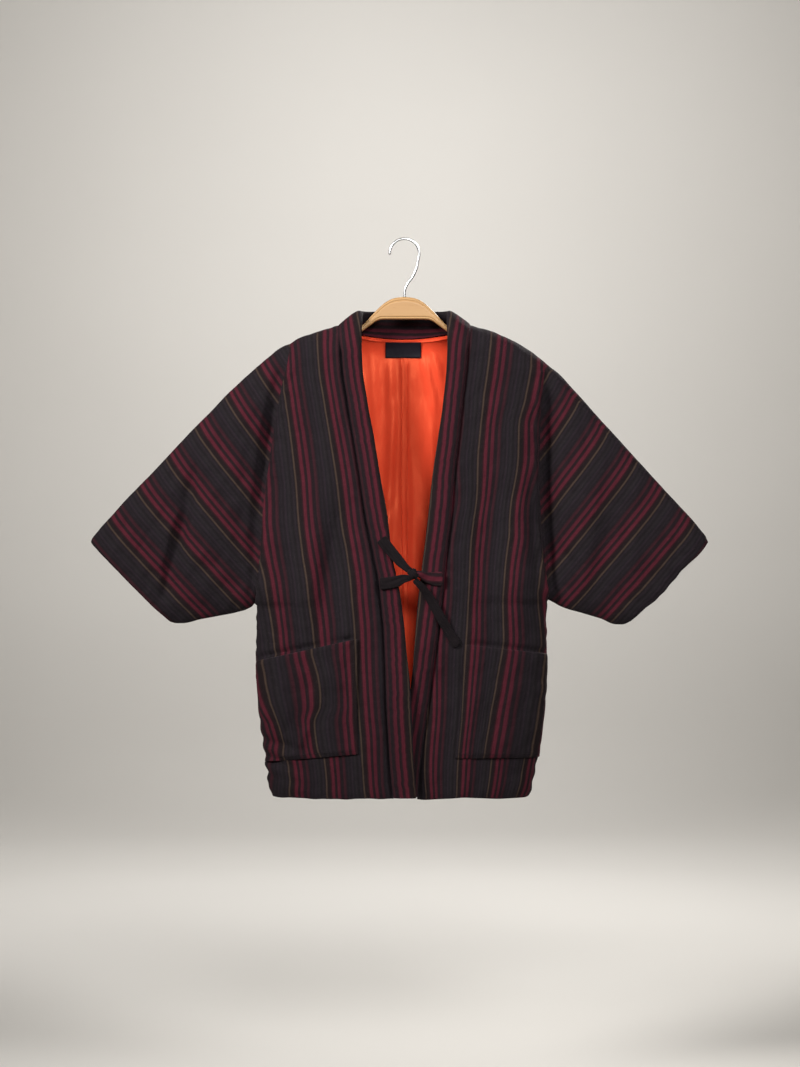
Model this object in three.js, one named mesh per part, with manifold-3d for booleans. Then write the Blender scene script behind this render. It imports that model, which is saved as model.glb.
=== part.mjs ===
// A padded hanten jacket hanging open on a wooden hanger, ties knotted at the chest.
// Millimetres, +Z up. The front faces -Y and +X is the wearer's left.
// The origin is the inside top of the steel hook, where it hangs on a rail.
import * as THREE from 'three';
import Module from 'manifold-3d';
import { mergeVertices } from 'three/addons/utils/BufferGeometryUtils.js';

const wasm = await Module();
wasm.setup();

// Driving dimensions
const WALL = 8; // shell, cotton wadding and lining, quilted together
const SEAM_GAP = 0.3;
const SHOULDER_ROUND = 45; // drop over which the cloth turns over the shoulder
const UNDERARM_ROUND = 42; // rise over which the armhole opens
const ARMHOLE_DEPTH = 30; // how far the armhole stands out from the hanger's plane
const SLEEVE_DEPTH = 34;
const CUFF_DEPTH = 25;
const HEM_Z = -887;
const NECK_BACK_Y = 38;
const NECK_BACK_DROP = 45;
const BAND_GAP = 0.4; // between the collar and the fronts it is sewn to
const COLLAR_PROUD = 1.5;
const COLLAR_PUFF = 1.5;
const NECK_FREE_X = 69.6; // free edge of the collar beside the neck
const NECK_FREE_Z = -113;
const LAP_TOP_Z = -640; // below this the right front starts to lap over the left one
const LAP_LENGTH = 90;
const LAP_FRONT = 7;
const LAP_BACK = 9;
const LAP_FADE = 80;
const LINING_THICK = 1.6;
const LINING_CLEAR = 0.5;
const POCKET_THICK = 5;
const TIE_THICK = 4;
const SKIRT_ROWS = 9; // from the hem to the underarm
const SLEEVE_RINGS = 12;
const NECK_ROWS = 6; // from the side of the neck to the centre back

// Heights up the armhole, as parts of its length, closer where the cloth turns
const ARMHOLE_STEPS = [0, 0.016, 0.045, 0.1, 0.18, 0.27, 0.36, 0.45, 0.54, 0.63, 0.72, 0.8, 0.875, 0.932,
  0.969, 0.992, 1];

// Columns of a body length, as parts of its width from the side seam to the collar or the centre back
const COLUMN_PARTS = [0, 0.018, 0.055, 0.12, 0.21, 0.32, 0.44, 0.58, 0.72, 0.86, 1];
const COLUMNS = COLUMN_PARTS.length - 1;

// Outer edge of each body length: side seam, then armhole, up to the shoulder
const BODY_SIDE = {
  right: [
    { z: -887, x: -213 }, { z: -867, x: -217 }, { z: -829, x: -222 }, { z: -771, x: -230 }, { z: -736, x: -234 },
    { z: -656, x: -237.5 }, { z: -584, x: -236 }, { z: -512, x: -231 }, { z: -456, x: -227.5 },
    { z: -368, x: -217.5 }, { z: -291, x: -205.5 }, { z: -245, x: -197.5 }, { z: -189, x: -185.5 },
    { z: -166, x: -183 },
  ],
  left: [
    { z: -887, x: 201 }, { z: -867, x: 205 }, { z: -829, x: 213.5 }, { z: -771, x: 221.5 }, { z: -736, x: 225 },
    { z: -656, x: 228 }, { z: -579, x: 227.5 }, { z: -512, x: 223 }, { z: -430, x: 217.5 }, { z: -368, x: 216 },
    { z: -304, x: 216.5 }, { z: -248, x: 220 }, { z: -196, x: 225 },
  ],
};
const UNDERARM_Z = { right: -584, left: -579 };

// Where the collar is sewn to each front, from the hem up to the side of the neck
const COLLAR_SEAM = {
  right: [
    { z: -887, x: -17.6 }, { z: -853, x: -21.6 }, { z: -803, x: -25 }, { z: -736, x: -28.6 }, { z: -653, x: -31.4 },
    { z: -574, x: -37.6 }, { z: -501, x: -49 }, { z: -443, x: -61 }, { z: -384, x: -70 }, { z: -315, x: -81 },
    { z: -254, x: -91 }, { z: -192, x: -99 }, { z: -137, x: -101.6 },
  ],
  left: [
    { z: -887, x: 20 }, { z: -819, x: 26.4 }, { z: -762, x: 34.4 }, { z: -702, x: 42.4 }, { z: -648, x: 49.6 },
    { z: -563, x: 60 }, { z: -518, x: 64 }, { z: -451, x: 72.5 }, { z: -384, x: 78 }, { z: -315, x: 85.6 },
    { z: -254, x: 92 }, { z: -192, x: 98.6 }, { z: -137, x: 101 },
  ],
};

// Free edge of the collar down each front
const COLLAR_FREE = {
  right: [
    { z: -887, x: 18.4 }, { z: -803, x: 13.1 }, { z: -736, x: 10.4 }, { z: -653, x: 2.9 }, { z: -574, x: -5.6 },
    { z: -501, x: -20 }, { z: -443, x: -27 }, { z: -384, x: -37.6 }, { z: -315, x: -48.8 }, { z: -254, x: -60 },
    { z: -192, x: -67.6 }, { z: -137, x: -69.6 },
  ],
  left: [
    { z: -887, x: -14 }, { z: -819, x: -8 }, { z: -762, x: 1 }, { z: -702, x: 11 }, { z: -648, x: 15.5 },
    { z: -563, x: 22.6 }, { z: -518, x: 28 }, { z: -451, x: 36.5 }, { z: -384, x: 43.6 }, { z: -315, x: 53.6 },
    { z: -254, x: 62 }, { z: -192, x: 67.4 }, { z: -137, x: 69.6 },
  ],
};

// Shoulder line of the body, from the right armhole to the left one
const SHOULDER = [
  { x: -238, z: -202 }, { x: -183, z: -166 }, { x: -167, z: -157 }, { x: -151, z: -150.5 }, { x: -135, z: -145.5 },
  { x: -119, z: -141 }, { x: -101.6, z: -137 }, { x: 0, z: -137 }, { x: 101, z: -137 }, { x: 121, z: -141 },
  { x: 137, z: -145.5 }, { x: 153, z: -152 }, { x: 169, z: -158.5 }, { x: 185, z: -168 }, { x: 201, z: -177.5 },
  { x: 225, z: -196 }, { x: 240, z: -208 },
];

// How far the middle of the body stands from the hanger's plane
const BODY_DEPTH = [
  { z: -887, front: 60, back: 52 }, { z: -800, front: 64, back: 56 }, { z: -700, front: 66, back: 58 },
  { z: -584, front: 62, back: 56 }, { z: -400, front: 58, back: 54 }, { z: -300, front: 55, back: 52 },
  { z: -200, front: 50, back: 50 }, { z: -137, front: 46, back: 50 },
];

// Upper edge, lower edge and cuff of each sleeve seen from the front
const SLEEVE_TOP = {
  right: [
    { x: -183, z: -166 }, { x: -199, z: -173 }, { x: -215, z: -185.5 }, { x: -231, z: -198.5 }, { x: -247, z: -213 },
    { x: -263, z: -227.5 }, { x: -311, z: -275.5 }, { x: -359, z: -325 }, { x: -407, z: -376 }, { x: -455, z: -425.5 },
    { x: -503, z: -481 },
  ],
  left: [
    { x: 225, z: -196 }, { x: 233, z: -203 }, { x: 249, z: -216 }, { x: 265, z: -233.5 }, { x: 281, z: -251 },
    { x: 313, z: -286.5 }, { x: 345, z: -321.5 }, { x: 377, z: -357 }, { x: 409, z: -392 }, { x: 441, z: -427 },
    { x: 473, z: -462.5 }, { x: 487, z: -481 },
  ],
};
const SLEEVE_BOTTOM = {
  right: [
    { x: -236, z: -584 }, { x: -247, z: -590.5 }, { x: -263, z: -595.5 }, { x: -295, z: -602 }, { x: -327, z: -608 },
    { x: -359, z: -614 }, { x: -374, z: -613 },
  ],
  left: [
    { x: 227.5, z: -579 }, { x: 249, z: -588 }, { x: 281, z: -597 }, { x: 313, z: -606.5 }, { x: 345, z: -616 },
    { x: 361, z: -612 },
  ],
};

// The largest folds: a line on the front or back, its reach to each side, and its height (- is a trough)
const FOLDS = [
  { on: 'front', x0: -105, z0: -474, x1: -128, z1: -560, reach: 26, height: -5 },
  { on: 'front', x0: -76, z0: -560, x1: -112, z1: -690, reach: 30, height: 4 },
  { on: 'front', x0: -126, z0: -730, x1: -168, z1: -830, reach: 26, height: -5 },
  { on: 'front', x0: -232, z0: -800, x1: -188, z1: -822, reach: 20, height: -4 },
  { on: 'front', x0: -228, z0: -846, x1: -190, z1: -850, reach: 18, height: 3 },
  { on: 'front', x0: -208, z0: -250, x1: -226, z1: -440, reach: 22, height: -7 },
  { on: 'front', x0: 222, z0: -225, x1: 220, z1: -560, reach: 20, height: -11 },
  { on: 'front', x0: 176, z0: -260, x1: 182, z1: -520, reach: 32, height: 4 },
  { on: 'front', x0: -340, z0: -368, x1: -378, z1: -560, reach: 24, height: -7 },
  { on: 'front', x0: -300, z0: -330, x1: -318, z1: -590, reach: 34, height: 5 },
  { on: 'front', x0: 300, z0: -380, x1: 262, z1: -560, reach: 30, height: 5 },
  { on: 'front', x0: 268, z0: -420, x1: 250, z1: -570, reach: 20, height: -5 },
  { on: 'back', x0: -212, z0: -240, x1: -224, z1: -540, reach: 22, height: -9 },
  { on: 'back', x0: 218, z0: -240, x1: 220, z1: -550, reach: 22, height: -9 },
  { on: 'back', x0: -90, z0: -420, x1: -130, z1: -800, reach: 36, height: 5 },
  { on: 'back', x0: 80, z0: -460, x1: 130, z1: -820, reach: 36, height: 5 },
  { on: 'back', x0: -20, z0: -520, x1: 14, z1: -860, reach: 34, height: -5 },
  { on: 'back', x0: -310, z0: -360, x1: -330, z1: -580, reach: 26, height: -6 },
  { on: 'back', x0: 300, z0: -360, x1: 290, z1: -580, reach: 26, height: -6 },
];

const COLOURS = {
  cloth: 0x30272d, band: 0x35282f, lining: 0xc8432b, label: 0x1d1c26, tie: 0x2b2930, wood: 0xd9b27a, steel: 0xb9bcc0,
};
const FINISH = {
  cloth: { roughness: 0.92, metalness: 0 }, satin: { roughness: 0.45, metalness: 0 },
  wood: { roughness: 0.5, metalness: 0 }, steel: { roughness: 0.25, metalness: 1 },
};

// Interpolation along a table: monotone cubic from one column to another
function column(rows, from, to) {
  const sorted = [...rows].sort((a, b) => a[from] - b[from]);
  const xs = sorted.map((r) => r[from]);
  const ys = sorted.map((r) => r[to]);
  const steps = xs.slice(1).map((x, i) => (ys[i + 1] - ys[i]) / (x - xs[i]));
  const slopes = xs.map((_, i) => {
    if (i === 0) return steps[0];
    if (i === xs.length - 1) return steps[i - 1];
    return steps[i - 1] * steps[i] <= 0 ? 0 : (2 * steps[i - 1] * steps[i]) / (steps[i - 1] + steps[i]);
  });
  return (value) => {
    if (value <= xs[0]) return ys[0];
    if (value >= xs[xs.length - 1]) return ys[ys.length - 1];
    let i = 0;
    while (value > xs[i + 1]) i += 1;
    const h = xs[i + 1] - xs[i];
    const t = (value - xs[i]) / h;
    const a = ys[i] + t * h * slopes[i];
    const b = ys[i + 1] - (1 - t) * h * slopes[i + 1];
    const s = t * t * (3 - 2 * t);
    return a * (1 - s) + b * s;
  };
}

const clamp01 = (t) => Math.min(1, Math.max(0, t));
const smooth = (t) => clamp01(t) ** 2 * (3 - 2 * clamp01(t));
const mix = (a, b, t) => a + (b - a) * t;
// Quarter round: 0 at t = 0 with a steep start, 1 from t = 1 on
const quarter = (t) => Math.sqrt(1 - (1 - clamp01(t)) ** 2);

const sideX = { right: column(BODY_SIDE.right, 'z', 'x'), left: column(BODY_SIDE.left, 'z', 'x') };
const seamX = { right: column(COLLAR_SEAM.right, 'z', 'x'), left: column(COLLAR_SEAM.left, 'z', 'x') };
const freeX = { right: column(COLLAR_FREE.right, 'z', 'x'), left: column(COLLAR_FREE.left, 'z', 'x') };
const shoulderZ = column(SHOULDER, 'x', 'z');
const bodyDepth = { front: column(BODY_DEPTH, 'z', 'front'), back: column(BODY_DEPTH, 'z', 'back') };

// Height of the folds of one layer at a point, tapering to the ends of each fold
function foldHeight(layer, x, z) {
  let sum = 0;
  for (const fold of FOLDS) {
    if (fold.on !== layer) continue;
    const dx = fold.x1 - fold.x0;
    const dz = fold.z1 - fold.z0;
    const along = ((x - fold.x0) * dx + (z - fold.z0) * dz) / (dx * dx + dz * dz);
    const t = clamp01(along);
    const away = Math.hypot(x - fold.x0 - t * dx, z - fold.z0 - t * dz) / fold.reach;
    sum += fold.height * Math.exp(-away * away) * (0.35 + 0.65 * Math.sin(Math.PI * t));
  }
  return sum;
}

// Distance of the body's outer face from the hanger's plane, on the front or the back
function bodyFace(layer, x, z) {
  const right = sideX.right(z);
  const left = sideX.left(z);
  const across = Math.min(1, Math.abs((2 * x - left - right) / (left - right)));
  const underarm = x < 0 ? UNDERARM_Z.right : UNDERARM_Z.left;
  const edge = ARMHOLE_DEPTH * quarter((z - underarm) / UNDERARM_ROUND);
  const crown = 1 - across ** 2.4;
  const round = (1 - across ** 2.8) ** (1 / 2.8);
  const below = smooth((-430 - z) / 150);
  const shape = mix(crown, round, below);
  const turn = quarter((shoulderZ(x) - z) / SHOULDER_ROUND);
  const depth = turn * (edge + (bodyDepth[layer](z) - edge) * shape);
  return depth + foldHeight(layer, x, z) * clamp01(depth / 22);
}

// The right front laps over the left one below the ties
function lap(side, x, z) {
  const down = smooth((LAP_TOP_Z - z) / LAP_LENGTH);
  const inward = side === 'right' ? seamX.right(z) - x : x - seamX.left(z);
  const near = smooth(1 - Math.max(0, inward) / LAP_FADE);
  return down * near * (side === 'right' ? LAP_FRONT : -LAP_BACK);
}

const frontPoint = (side, x, z) => new THREE.Vector3(x, -bodyFace('front', x, z) - lap(side, x, z), z);
const backPoint = (x, z) => new THREE.Vector3(x, bodyFace('back', x, z), z);

// Grid of one body length: rows run from the front hem over the shoulder to the back hem,
// columns from the side seam or armhole to the collar or the centre back
function bodyGrid(side) {
  const underarm = UNDERARM_Z[side];
  const tip = BODY_SIDE[side][BODY_SIDE[side].length - 1].z;
  const neck = COLLAR_SEAM[side][COLLAR_SEAM[side].length - 1];
  const heights = [];
  for (let i = 0; i < SKIRT_ROWS; i += 1) heights.push(mix(HEM_Z, underarm, i / SKIRT_ROWS));
  for (const step of ARMHOLE_STEPS) heights.push(mix(underarm, tip, step));
  const parts = heights.map((z) => (z - HEM_Z) / (tip - HEM_Z));
  const front = heights.map((outerZ, row) => {
    const innerZ = mix(HEM_Z, neck.z, parts[row]);
    return gridRow(sideX[side](outerZ), outerZ, seamX[side](innerZ), innerZ, parts[row],
      (x, z) => frontPoint(side, x, z));
  });
  const back = [];
  for (let row = heights.length - 2; row >= 0; row -= 1) {
    const down = heights.length - 1 - row;
    const outerZ = heights[row];
    let innerX = 0;
    let innerZ;
    if (down <= NECK_ROWS) {
      const turn = (Math.PI / 2) * (down / NECK_ROWS);
      innerX = neck.x * Math.cos(turn);
      innerZ = neckZ(innerX, NECK_BACK_Y * Math.sin(turn));
    } else {
      const centreZ = neckZ(0, NECK_BACK_Y);
      innerZ = mix(HEM_Z, centreZ, parts[row] / parts[heights.length - 1 - NECK_ROWS]);
    }
    back.push(gridRow(sideX[side](outerZ), outerZ, innerX, innerZ, parts[row], backPoint));
  }
  const grid = [...front, ...back];
  return { side, points: grid, skirt: SKIRT_ROWS, top: heights.length - 1 };
}

// Height at which the back of the body lies a given distance behind the hanger's plane
function neckZ(x, y) {
  let z = shoulderZ(x);
  while (bodyFace('back', x, z) < y && z > shoulderZ(x) - NECK_BACK_DROP) z -= 0.05;
  return z;
}

// One row of a body length; near the shoulder it follows the shoulder line
function gridRow(outerX, outerZ, innerX, innerZ, part, place) {
  const row = [];
  for (let i = 0; i <= COLUMNS; i += 1) {
    const t = COLUMN_PARTS[i];
    const x = mix(outerX, innerX, t);
    const bulge = shoulderZ(x) - mix(shoulderZ(outerX), shoulderZ(innerX), t);
    const z = mix(outerZ, innerZ, t) + bulge * smooth((part - 0.6) / 0.4);
    row.push(place(x, Math.min(z, shoulderZ(x))));
  }
  return row;
}

// Point at a part of the length of a table's edge line
function edgeLine(rows) {
  return new THREE.CatmullRomCurve3(rows.map((r) => new THREE.Vector3(r.x, 0, r.z)), false, 'centripetal');
}

// Sleeve rings, from the armhole to the cuff; each ring runs from the underarm up the front,
// over the top and down the back
function sleeveGrid(body) {
  const { side, points, skirt, top } = body;
  const topLine = edgeLine(SLEEVE_TOP[side]);
  const bottomLine = edgeLine(SLEEVE_BOTTOM[side]);
  const half = top - skirt;
  const armhole = [];
  for (let j = 0; j < 2 * half; j += 1) armhole.push(points[skirt + j][0]);
  const chord = (line, t) => line.getPointAt(clamp01(t));
  const rings = [];
  for (let k = 0; k <= SLEEVE_RINGS; k += 1) {
    const s = k / SLEEVE_RINGS;
    const t = chord(topLine, s);
    const b = chord(bottomLine, s);
    const depth = mix(SLEEVE_DEPTH, CUFF_DEPTH, s);
    const keep = 1 - smooth(s / 0.3);
    rings.push(armhole.map((start, j) => {
      const layer = j <= half ? 'front' : 'back';
      const up = ARMHOLE_STEPS[j <= half ? j : 2 * half - j];
      if (k === 0) return start.clone();
      const x = mix(b.x, t.x, up) + keep * (start.x - mix(armhole[0].x, armhole[half].x, up));
      const z = mix(b.z, t.z, up);
      const flat = Math.abs(2 * up - 1);
      const bulge = depth * (1 - flat ** 2.6) ** (1 / 2.6);
      const plain = mix(bulge, Math.abs(start.y), keep);
      const y = plain + foldHeight(layer, x, z) * (1 - keep) * clamp01(plain / 22);
      return new THREE.Vector3(x, layer === 'front' ? -y : y, z);
    }));
  }
  return rings;
}

// Normals of a grid of points; a ring grid joins its last column to its first
function gridNormals(points, ring) {
  const normals = points.map((row) => row.map(() => new THREE.Vector3()));
  const cols = points[0].length;
  const ab = new THREE.Vector3();
  const cd = new THREE.Vector3();
  for (let i = 0; i + 1 < points.length; i += 1) {
    for (let j = 0; j < (ring ? cols : cols - 1); j += 1) {
      const k = (j + 1) % cols;
      ab.subVectors(points[i + 1][k], points[i][j]);
      cd.subVectors(points[i + 1][j], points[i][k]);
      const n = new THREE.Vector3().crossVectors(ab, cd);
      for (const target of [normals[i][j], normals[i + 1][j], normals[i][k], normals[i + 1][k]]) target.add(n);
    }
  }
  for (const row of normals) for (const n of row) n.normalize();
  return normals;
}

// A cloth piece: outer points, their outward normals and the depth of the wall at each point
function cloth(points, { ring = false, wall = WALL, flip = false } = {}) {
  const normals = gridNormals(points, ring);
  if (flip) for (const row of normals) for (const n of row) n.negate();
  return { points, normals, ring, depth: points.map((row) => row.map(() => wall)), wall };
}

// Points shared by pieces at a seam get one normal and one mitred wall depth
function weld(refs) {
  const sum = new THREE.Vector3();
  for (const { piece, i, j } of refs) sum.add(piece.normals[i][j]);
  sum.normalize();
  let facing = 0;
  for (const { piece, i, j } of refs) facing += piece.normals[i][j].dot(sum) / refs.length;
  for (const { piece, i, j } of refs) {
    piece.normals[i][j] = sum.clone();
    piece.depth[i][j] = piece.wall / Math.max(0.68, facing);
  }
}

const innerPoint = (piece, i, j) => piece.points[i][j].clone().addScaledVector(piece.normals[i][j], -piece.depth[i][j]);

// Closed solid between the outer points and the inner ones
function shellMesh(outer, inner, ring) {
  const rows = outer.length;
  const cols = outer[0].length;
  const positions = [];
  for (const face of [outer, inner]) for (const row of face) for (const p of row) positions.push(p.x, p.y, p.z);
  const at = (face, i, j) => face * rows * cols + i * cols + (j % cols);
  const index = [];
  const quad = (a, b, c, d) => index.push(a, b, c, a, c, d);
  const spans = ring ? cols : cols - 1;
  for (let i = 0; i + 1 < rows; i += 1) {
    for (let j = 0; j < spans; j += 1) {
      quad(at(0, i, j), at(0, i, j + 1), at(0, i + 1, j + 1), at(0, i + 1, j));
      quad(at(1, i, j), at(1, i + 1, j), at(1, i + 1, j + 1), at(1, i, j + 1));
    }
    if (!ring) {
      quad(at(0, i, 0), at(0, i + 1, 0), at(1, i + 1, 0), at(1, i, 0));
      quad(at(0, i, cols - 1), at(1, i, cols - 1), at(1, i + 1, cols - 1), at(0, i + 1, cols - 1));
    }
  }
  for (let j = 0; j < spans; j += 1) {
    quad(at(0, 0, j), at(1, 0, j), at(1, 0, j + 1), at(0, 0, j + 1));
    quad(at(0, rows - 1, j), at(0, rows - 1, j + 1), at(1, rows - 1, j + 1), at(1, rows - 1, j));
  }
  return closedGeometry(positions, index);
}

// Closed skin over a row of sections with equal counts of points, with a fan at each end
function loftMesh(sections) {
  const count = sections[0].length;
  const positions = [];
  for (const section of sections) for (const p of section) positions.push(p.x, p.y, p.z);
  const index = [];
  for (let i = 0; i + 1 < sections.length; i += 1) {
    for (let j = 0; j < count; j += 1) {
      const k = (j + 1) % count;
      const a = i * count + j;
      const b = i * count + k;
      index.push(a, b, b + count, a, b + count, a + count);
    }
  }
  const ends = [sections[0], sections[sections.length - 1]];
  ends.forEach((section, end) => {
    const centre = section.reduce((s, p) => s.add(p), new THREE.Vector3()).divideScalar(count);
    const c = positions.length / 3;
    positions.push(centre.x, centre.y, centre.z);
    const start = end === 0 ? 0 : (sections.length - 1) * count;
    for (let j = 0; j < count; j += 1) {
      const a = start + j;
      const b = start + ((j + 1) % count);
      if (end === 0) index.push(c, b, a);
      else index.push(c, a, b);
    }
  });
  return closedGeometry(positions, index);
}

// Indexed geometry with its faces pointing out
function closedGeometry(positions, index) {
  let volume = 0;
  const p = (i) => new THREE.Vector3(positions[3 * i], positions[3 * i + 1], positions[3 * i + 2]);
  for (let i = 0; i < index.length; i += 3) {
    volume += p(index[i]).dot(new THREE.Vector3().crossVectors(p(index[i + 1]), p(index[i + 2])));
  }
  if (volume < 0) for (let i = 0; i < index.length; i += 3) [index[i], index[i + 1]] = [index[i + 1], index[i]];
  const geometry = new THREE.BufferGeometry();
  geometry.setAttribute('position', new THREE.Float32BufferAttribute(positions, 3));
  geometry.setIndex(index);
  geometry.computeVertexNormals();
  return geometry;
}

function toManifold(geometry) {
  const bare = geometry.clone();
  bare.deleteAttribute('normal');
  bare.deleteAttribute('uv');
  const merged = mergeVertices(bare, 1e-4);
  return new wasm.Manifold(new wasm.Mesh({
    numProp: 3, vertProperties: merged.attributes.position.array, triVerts: new Uint32Array(merged.index.array),
  }));
}

function cut(geometry, tool) {
  const mesh = toManifold(geometry).subtract(toManifold(tool)).getMesh();
  const result = new THREE.BufferGeometry();
  result.setAttribute('position', new THREE.BufferAttribute(mesh.vertProperties, 3));
  result.setIndex(new THREE.BufferAttribute(mesh.triVerts, 1));
  result.computeVertexNormals();
  return result;
}

const jacket = new THREE.Group();

function addPiece(name, geometry, color, finish) {
  const piece = new THREE.Mesh(geometry, new THREE.MeshStandardMaterial({ color, ...finish }));
  piece.name = name;
  jacket.add(piece);
}

// Body and sleeves
const bodies = { right: bodyGrid('right'), left: bodyGrid('left') };
const panels = {};
const sleeves = {};
for (const side of ['right', 'left']) {
  panels[side] = cloth(bodies[side].points, { flip: side === 'left' });
  sleeves[side] = cloth(sleeveGrid(bodies[side]), { ring: true, flip: side === 'left' });
}

// Moves a seam's points off the seam, each piece to its own side, by half the gap
function partSeam(outer, inner, piece, list) {
  for (const { i, j, toI, toJ } of list) {
    const cols = piece.points[0].length;
    const inward = piece.points[toI][toJ % cols].clone().sub(piece.points[i][j]);
    inward.addScaledVector(piece.normals[i][j], -inward.dot(piece.normals[i][j]));
    inward.setLength(SEAM_GAP / 2);
    outer[i][j].add(inward);
    inner[i][j].add(inward);
  }
}

for (const side of ['right', 'left']) {
  const { skirt, top } = bodies[side];
  const last = 2 * top;
  const panel = panels[side];
  const sleeve = sleeves[side];
  for (let i = 0; i < skirt; i += 1) {
    weld([{ piece: panel, i, j: 0 }, { piece: panel, i: last - i, j: 0 }]);
  }
  const half = top - skirt;
  for (let j = 1; j < 2 * half; j += 1) {
    weld([{ piece: panel, i: skirt + j, j: 0 }, { piece: sleeve, i: 0, j }]);
  }
  weld([{ piece: panel, i: skirt, j: 0 }, { piece: panel, i: last - skirt, j: 0 }, { piece: sleeve, i: 0, j: 0 }]);
}
for (let i = bodies.right.top + NECK_ROWS; i <= 2 * bodies.right.top; i += 1) {
  weld([{ piece: panels.right, i, j: COLUMNS }, { piece: panels.left, i, j: COLUMNS }]);
}

// Collar: one band from the right front hem round the neck to the left front hem
function collarStations() {
  const stations = [];
  for (const side of ['right', 'left']) {
    const { top } = bodies[side];
    const list = [];
    for (let i = 0; i <= top + NECK_ROWS; i += 1) {
      const seam = panels[side].points[i][COLUMNS];
      const sign = side === 'right' ? -1 : 1;
      if (i <= top) {
        const rise = smooth((seam.z + 200) / 63);
        const level = frontPoint(side, freeX[side](seam.z), Math.min(seam.z, -200));
        const z = seam.z + (NECK_FREE_Z + 137) * rise;
        list.push({ seam, free: new THREE.Vector3(freeX[side](seam.z), mix(level.y, seam.y, rise), z) });
      } else {
        const turn = (Math.PI / 2) * ((i - top) / NECK_ROWS);
        const x = sign * NECK_FREE_X * Math.cos(turn);
        list.push({ seam, free: new THREE.Vector3(x, (NECK_BACK_Y + 2) * Math.sin(turn), NECK_FREE_Z + Math.sin(turn)) });
      }
    }
    if (side === 'left') {
      list.pop();
      list.reverse();
    }
    stations.push(...list);
  }
  return stations;
}
const collarLine = collarStations();

// The edge of each body length is squared off where the collar is sewn to it
for (const side of ['right', 'left']) {
  for (const { seam, free } of collarLine) {
    const i = panels[side].points.findIndex((row) => row[COLUMNS] === seam);
    if (i < 0) continue;
    const normal = panels[side].normals[i][COLUMNS];
    const width = free.clone().sub(seam).normalize();
    const lean = normal.dot(width);
    if (lean < 0) normal.addScaledVector(width, -lean).normalize();
  }
}

const innerPanels = {};
for (const side of ['right', 'left']) {
  const { skirt, top } = bodies[side];
  const last = 2 * top;
  const panel = panels[side];
  const outer = panel.points.map((row) => row.map((p) => p.clone()));
  const inner = panel.points.map((row, i) => row.map((_, j) => innerPoint(panel, i, j)));
  innerPanels[side] = inner.map((row) => row.map((p) => p.clone()));
  const seams = [];
  for (let i = 0; i <= last; i += 1) seams.push({ i, j: 0, toI: i, toJ: 1 });
  for (let i = 0; i <= last; i += 1) seams.push({ i, j: COLUMNS, toI: i, toJ: COLUMNS - 1 });
  partSeam(outer, inner, panel, seams);
  for (let i = 0; i <= skirt; i += 1) {
    for (const face of [outer, inner]) {
      face[i][0].y -= SEAM_GAP / 2;
      face[last - i][0].y += SEAM_GAP / 2;
    }
  }
  addPiece(`body_${side}`, shellMesh(outer, inner, false), COLOURS.cloth, FINISH.cloth);

  const sleeve = sleeves[side];
  const sleeveOuter = sleeve.points.map((row) => row.map((p) => p.clone()));
  const sleeveInner = sleeve.points.map((row, i) => row.map((_, j) => innerPoint(sleeve, i, j)));
  partSeam(sleeveOuter, sleeveInner, sleeve, sleeve.points[0].map((_, j) => ({ i: 0, j, toI: 1, toJ: j })));
  addPiece(`sleeve_${side}`, shellMesh(sleeveOuter, sleeveInner, true), COLOURS.cloth, FINISH.cloth);
}

// Section of the band: across from the seam (0) to the free edge (1), and height in its thickness
const BAND_SECTION = [
  { across: 0, out: 0 }, { across: 0.3, out: 1 }, { across: 0.7, out: 1 }, { across: 0.93, out: 0.2 },
  { across: 1, out: -2.6 }, { across: 1, out: -7.2 }, { across: 0.93, out: -10 }, { across: 0.65, out: -10.6 },
  { across: 0.3, out: -10.6 }, { across: 0, out: -10 },
];

function bandLoft(stations) {
  return stations.map(({ seam, free }, k) => {
    const before = stations[Math.max(0, k - 1)].seam;
    const after = stations[Math.min(stations.length - 1, k + 1)].seam;
    const width = free.clone().sub(seam);
    const path = after.clone().sub(before);
    const out = width.clone().cross(path).normalize();
    const start = seam.clone().addScaledVector(width.clone().normalize(), BAND_GAP);
    return BAND_SECTION.map(({ across, out: height }) => start.clone()
      .addScaledVector(width, across * (1 - BAND_GAP / width.length()))
      .addScaledVector(out, height + COLLAR_PROUD * (height > -2 ? 1 : 0.6)));
  });
}
addPiece('collar', loftMesh(bandLoft(collarLine)), COLOURS.band, FINISH.cloth);

// Lining of the back, one piece to each body length, just inside the wall
const linings = {};
for (const side of ['right', 'left']) {
  const { top } = bodies[side];
  const grid = [];
  for (let i = top + 2; i <= 2 * top; i += 1) {
    const row = [];
    for (let j = 1; j <= COLUMNS; j += 1) {
      row.push(innerPanels[side][i][j].clone().addScaledVector(panels[side].normals[i][j], -LINING_CLEAR));
    }
    grid.push(row);
  }
  const lining = cloth(grid, { wall: LINING_THICK, flip: side === 'left' });
  const outer = grid.map((row) => row.map((p) => p.clone()));
  const inner = grid.map((row, i) => row.map((_, j) => innerPoint(lining, i, j)));
  const lastColumn = grid[0].length - 1;
  const sign = side === 'right' ? -1 : 1;
  for (const face of [outer, inner]) {
    for (let i = 0; i < face.length; i += 1) {
      const p = face[i][lastColumn];
      if (Math.abs(p.x) < 1.5) p.x = sign * SEAM_GAP * 0.5;
    }
  }
  linings[side] = inner;
  addPiece(`lining_${side}`, shellMesh(outer, inner, false), COLOURS.lining, FINISH.satin);
}

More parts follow.
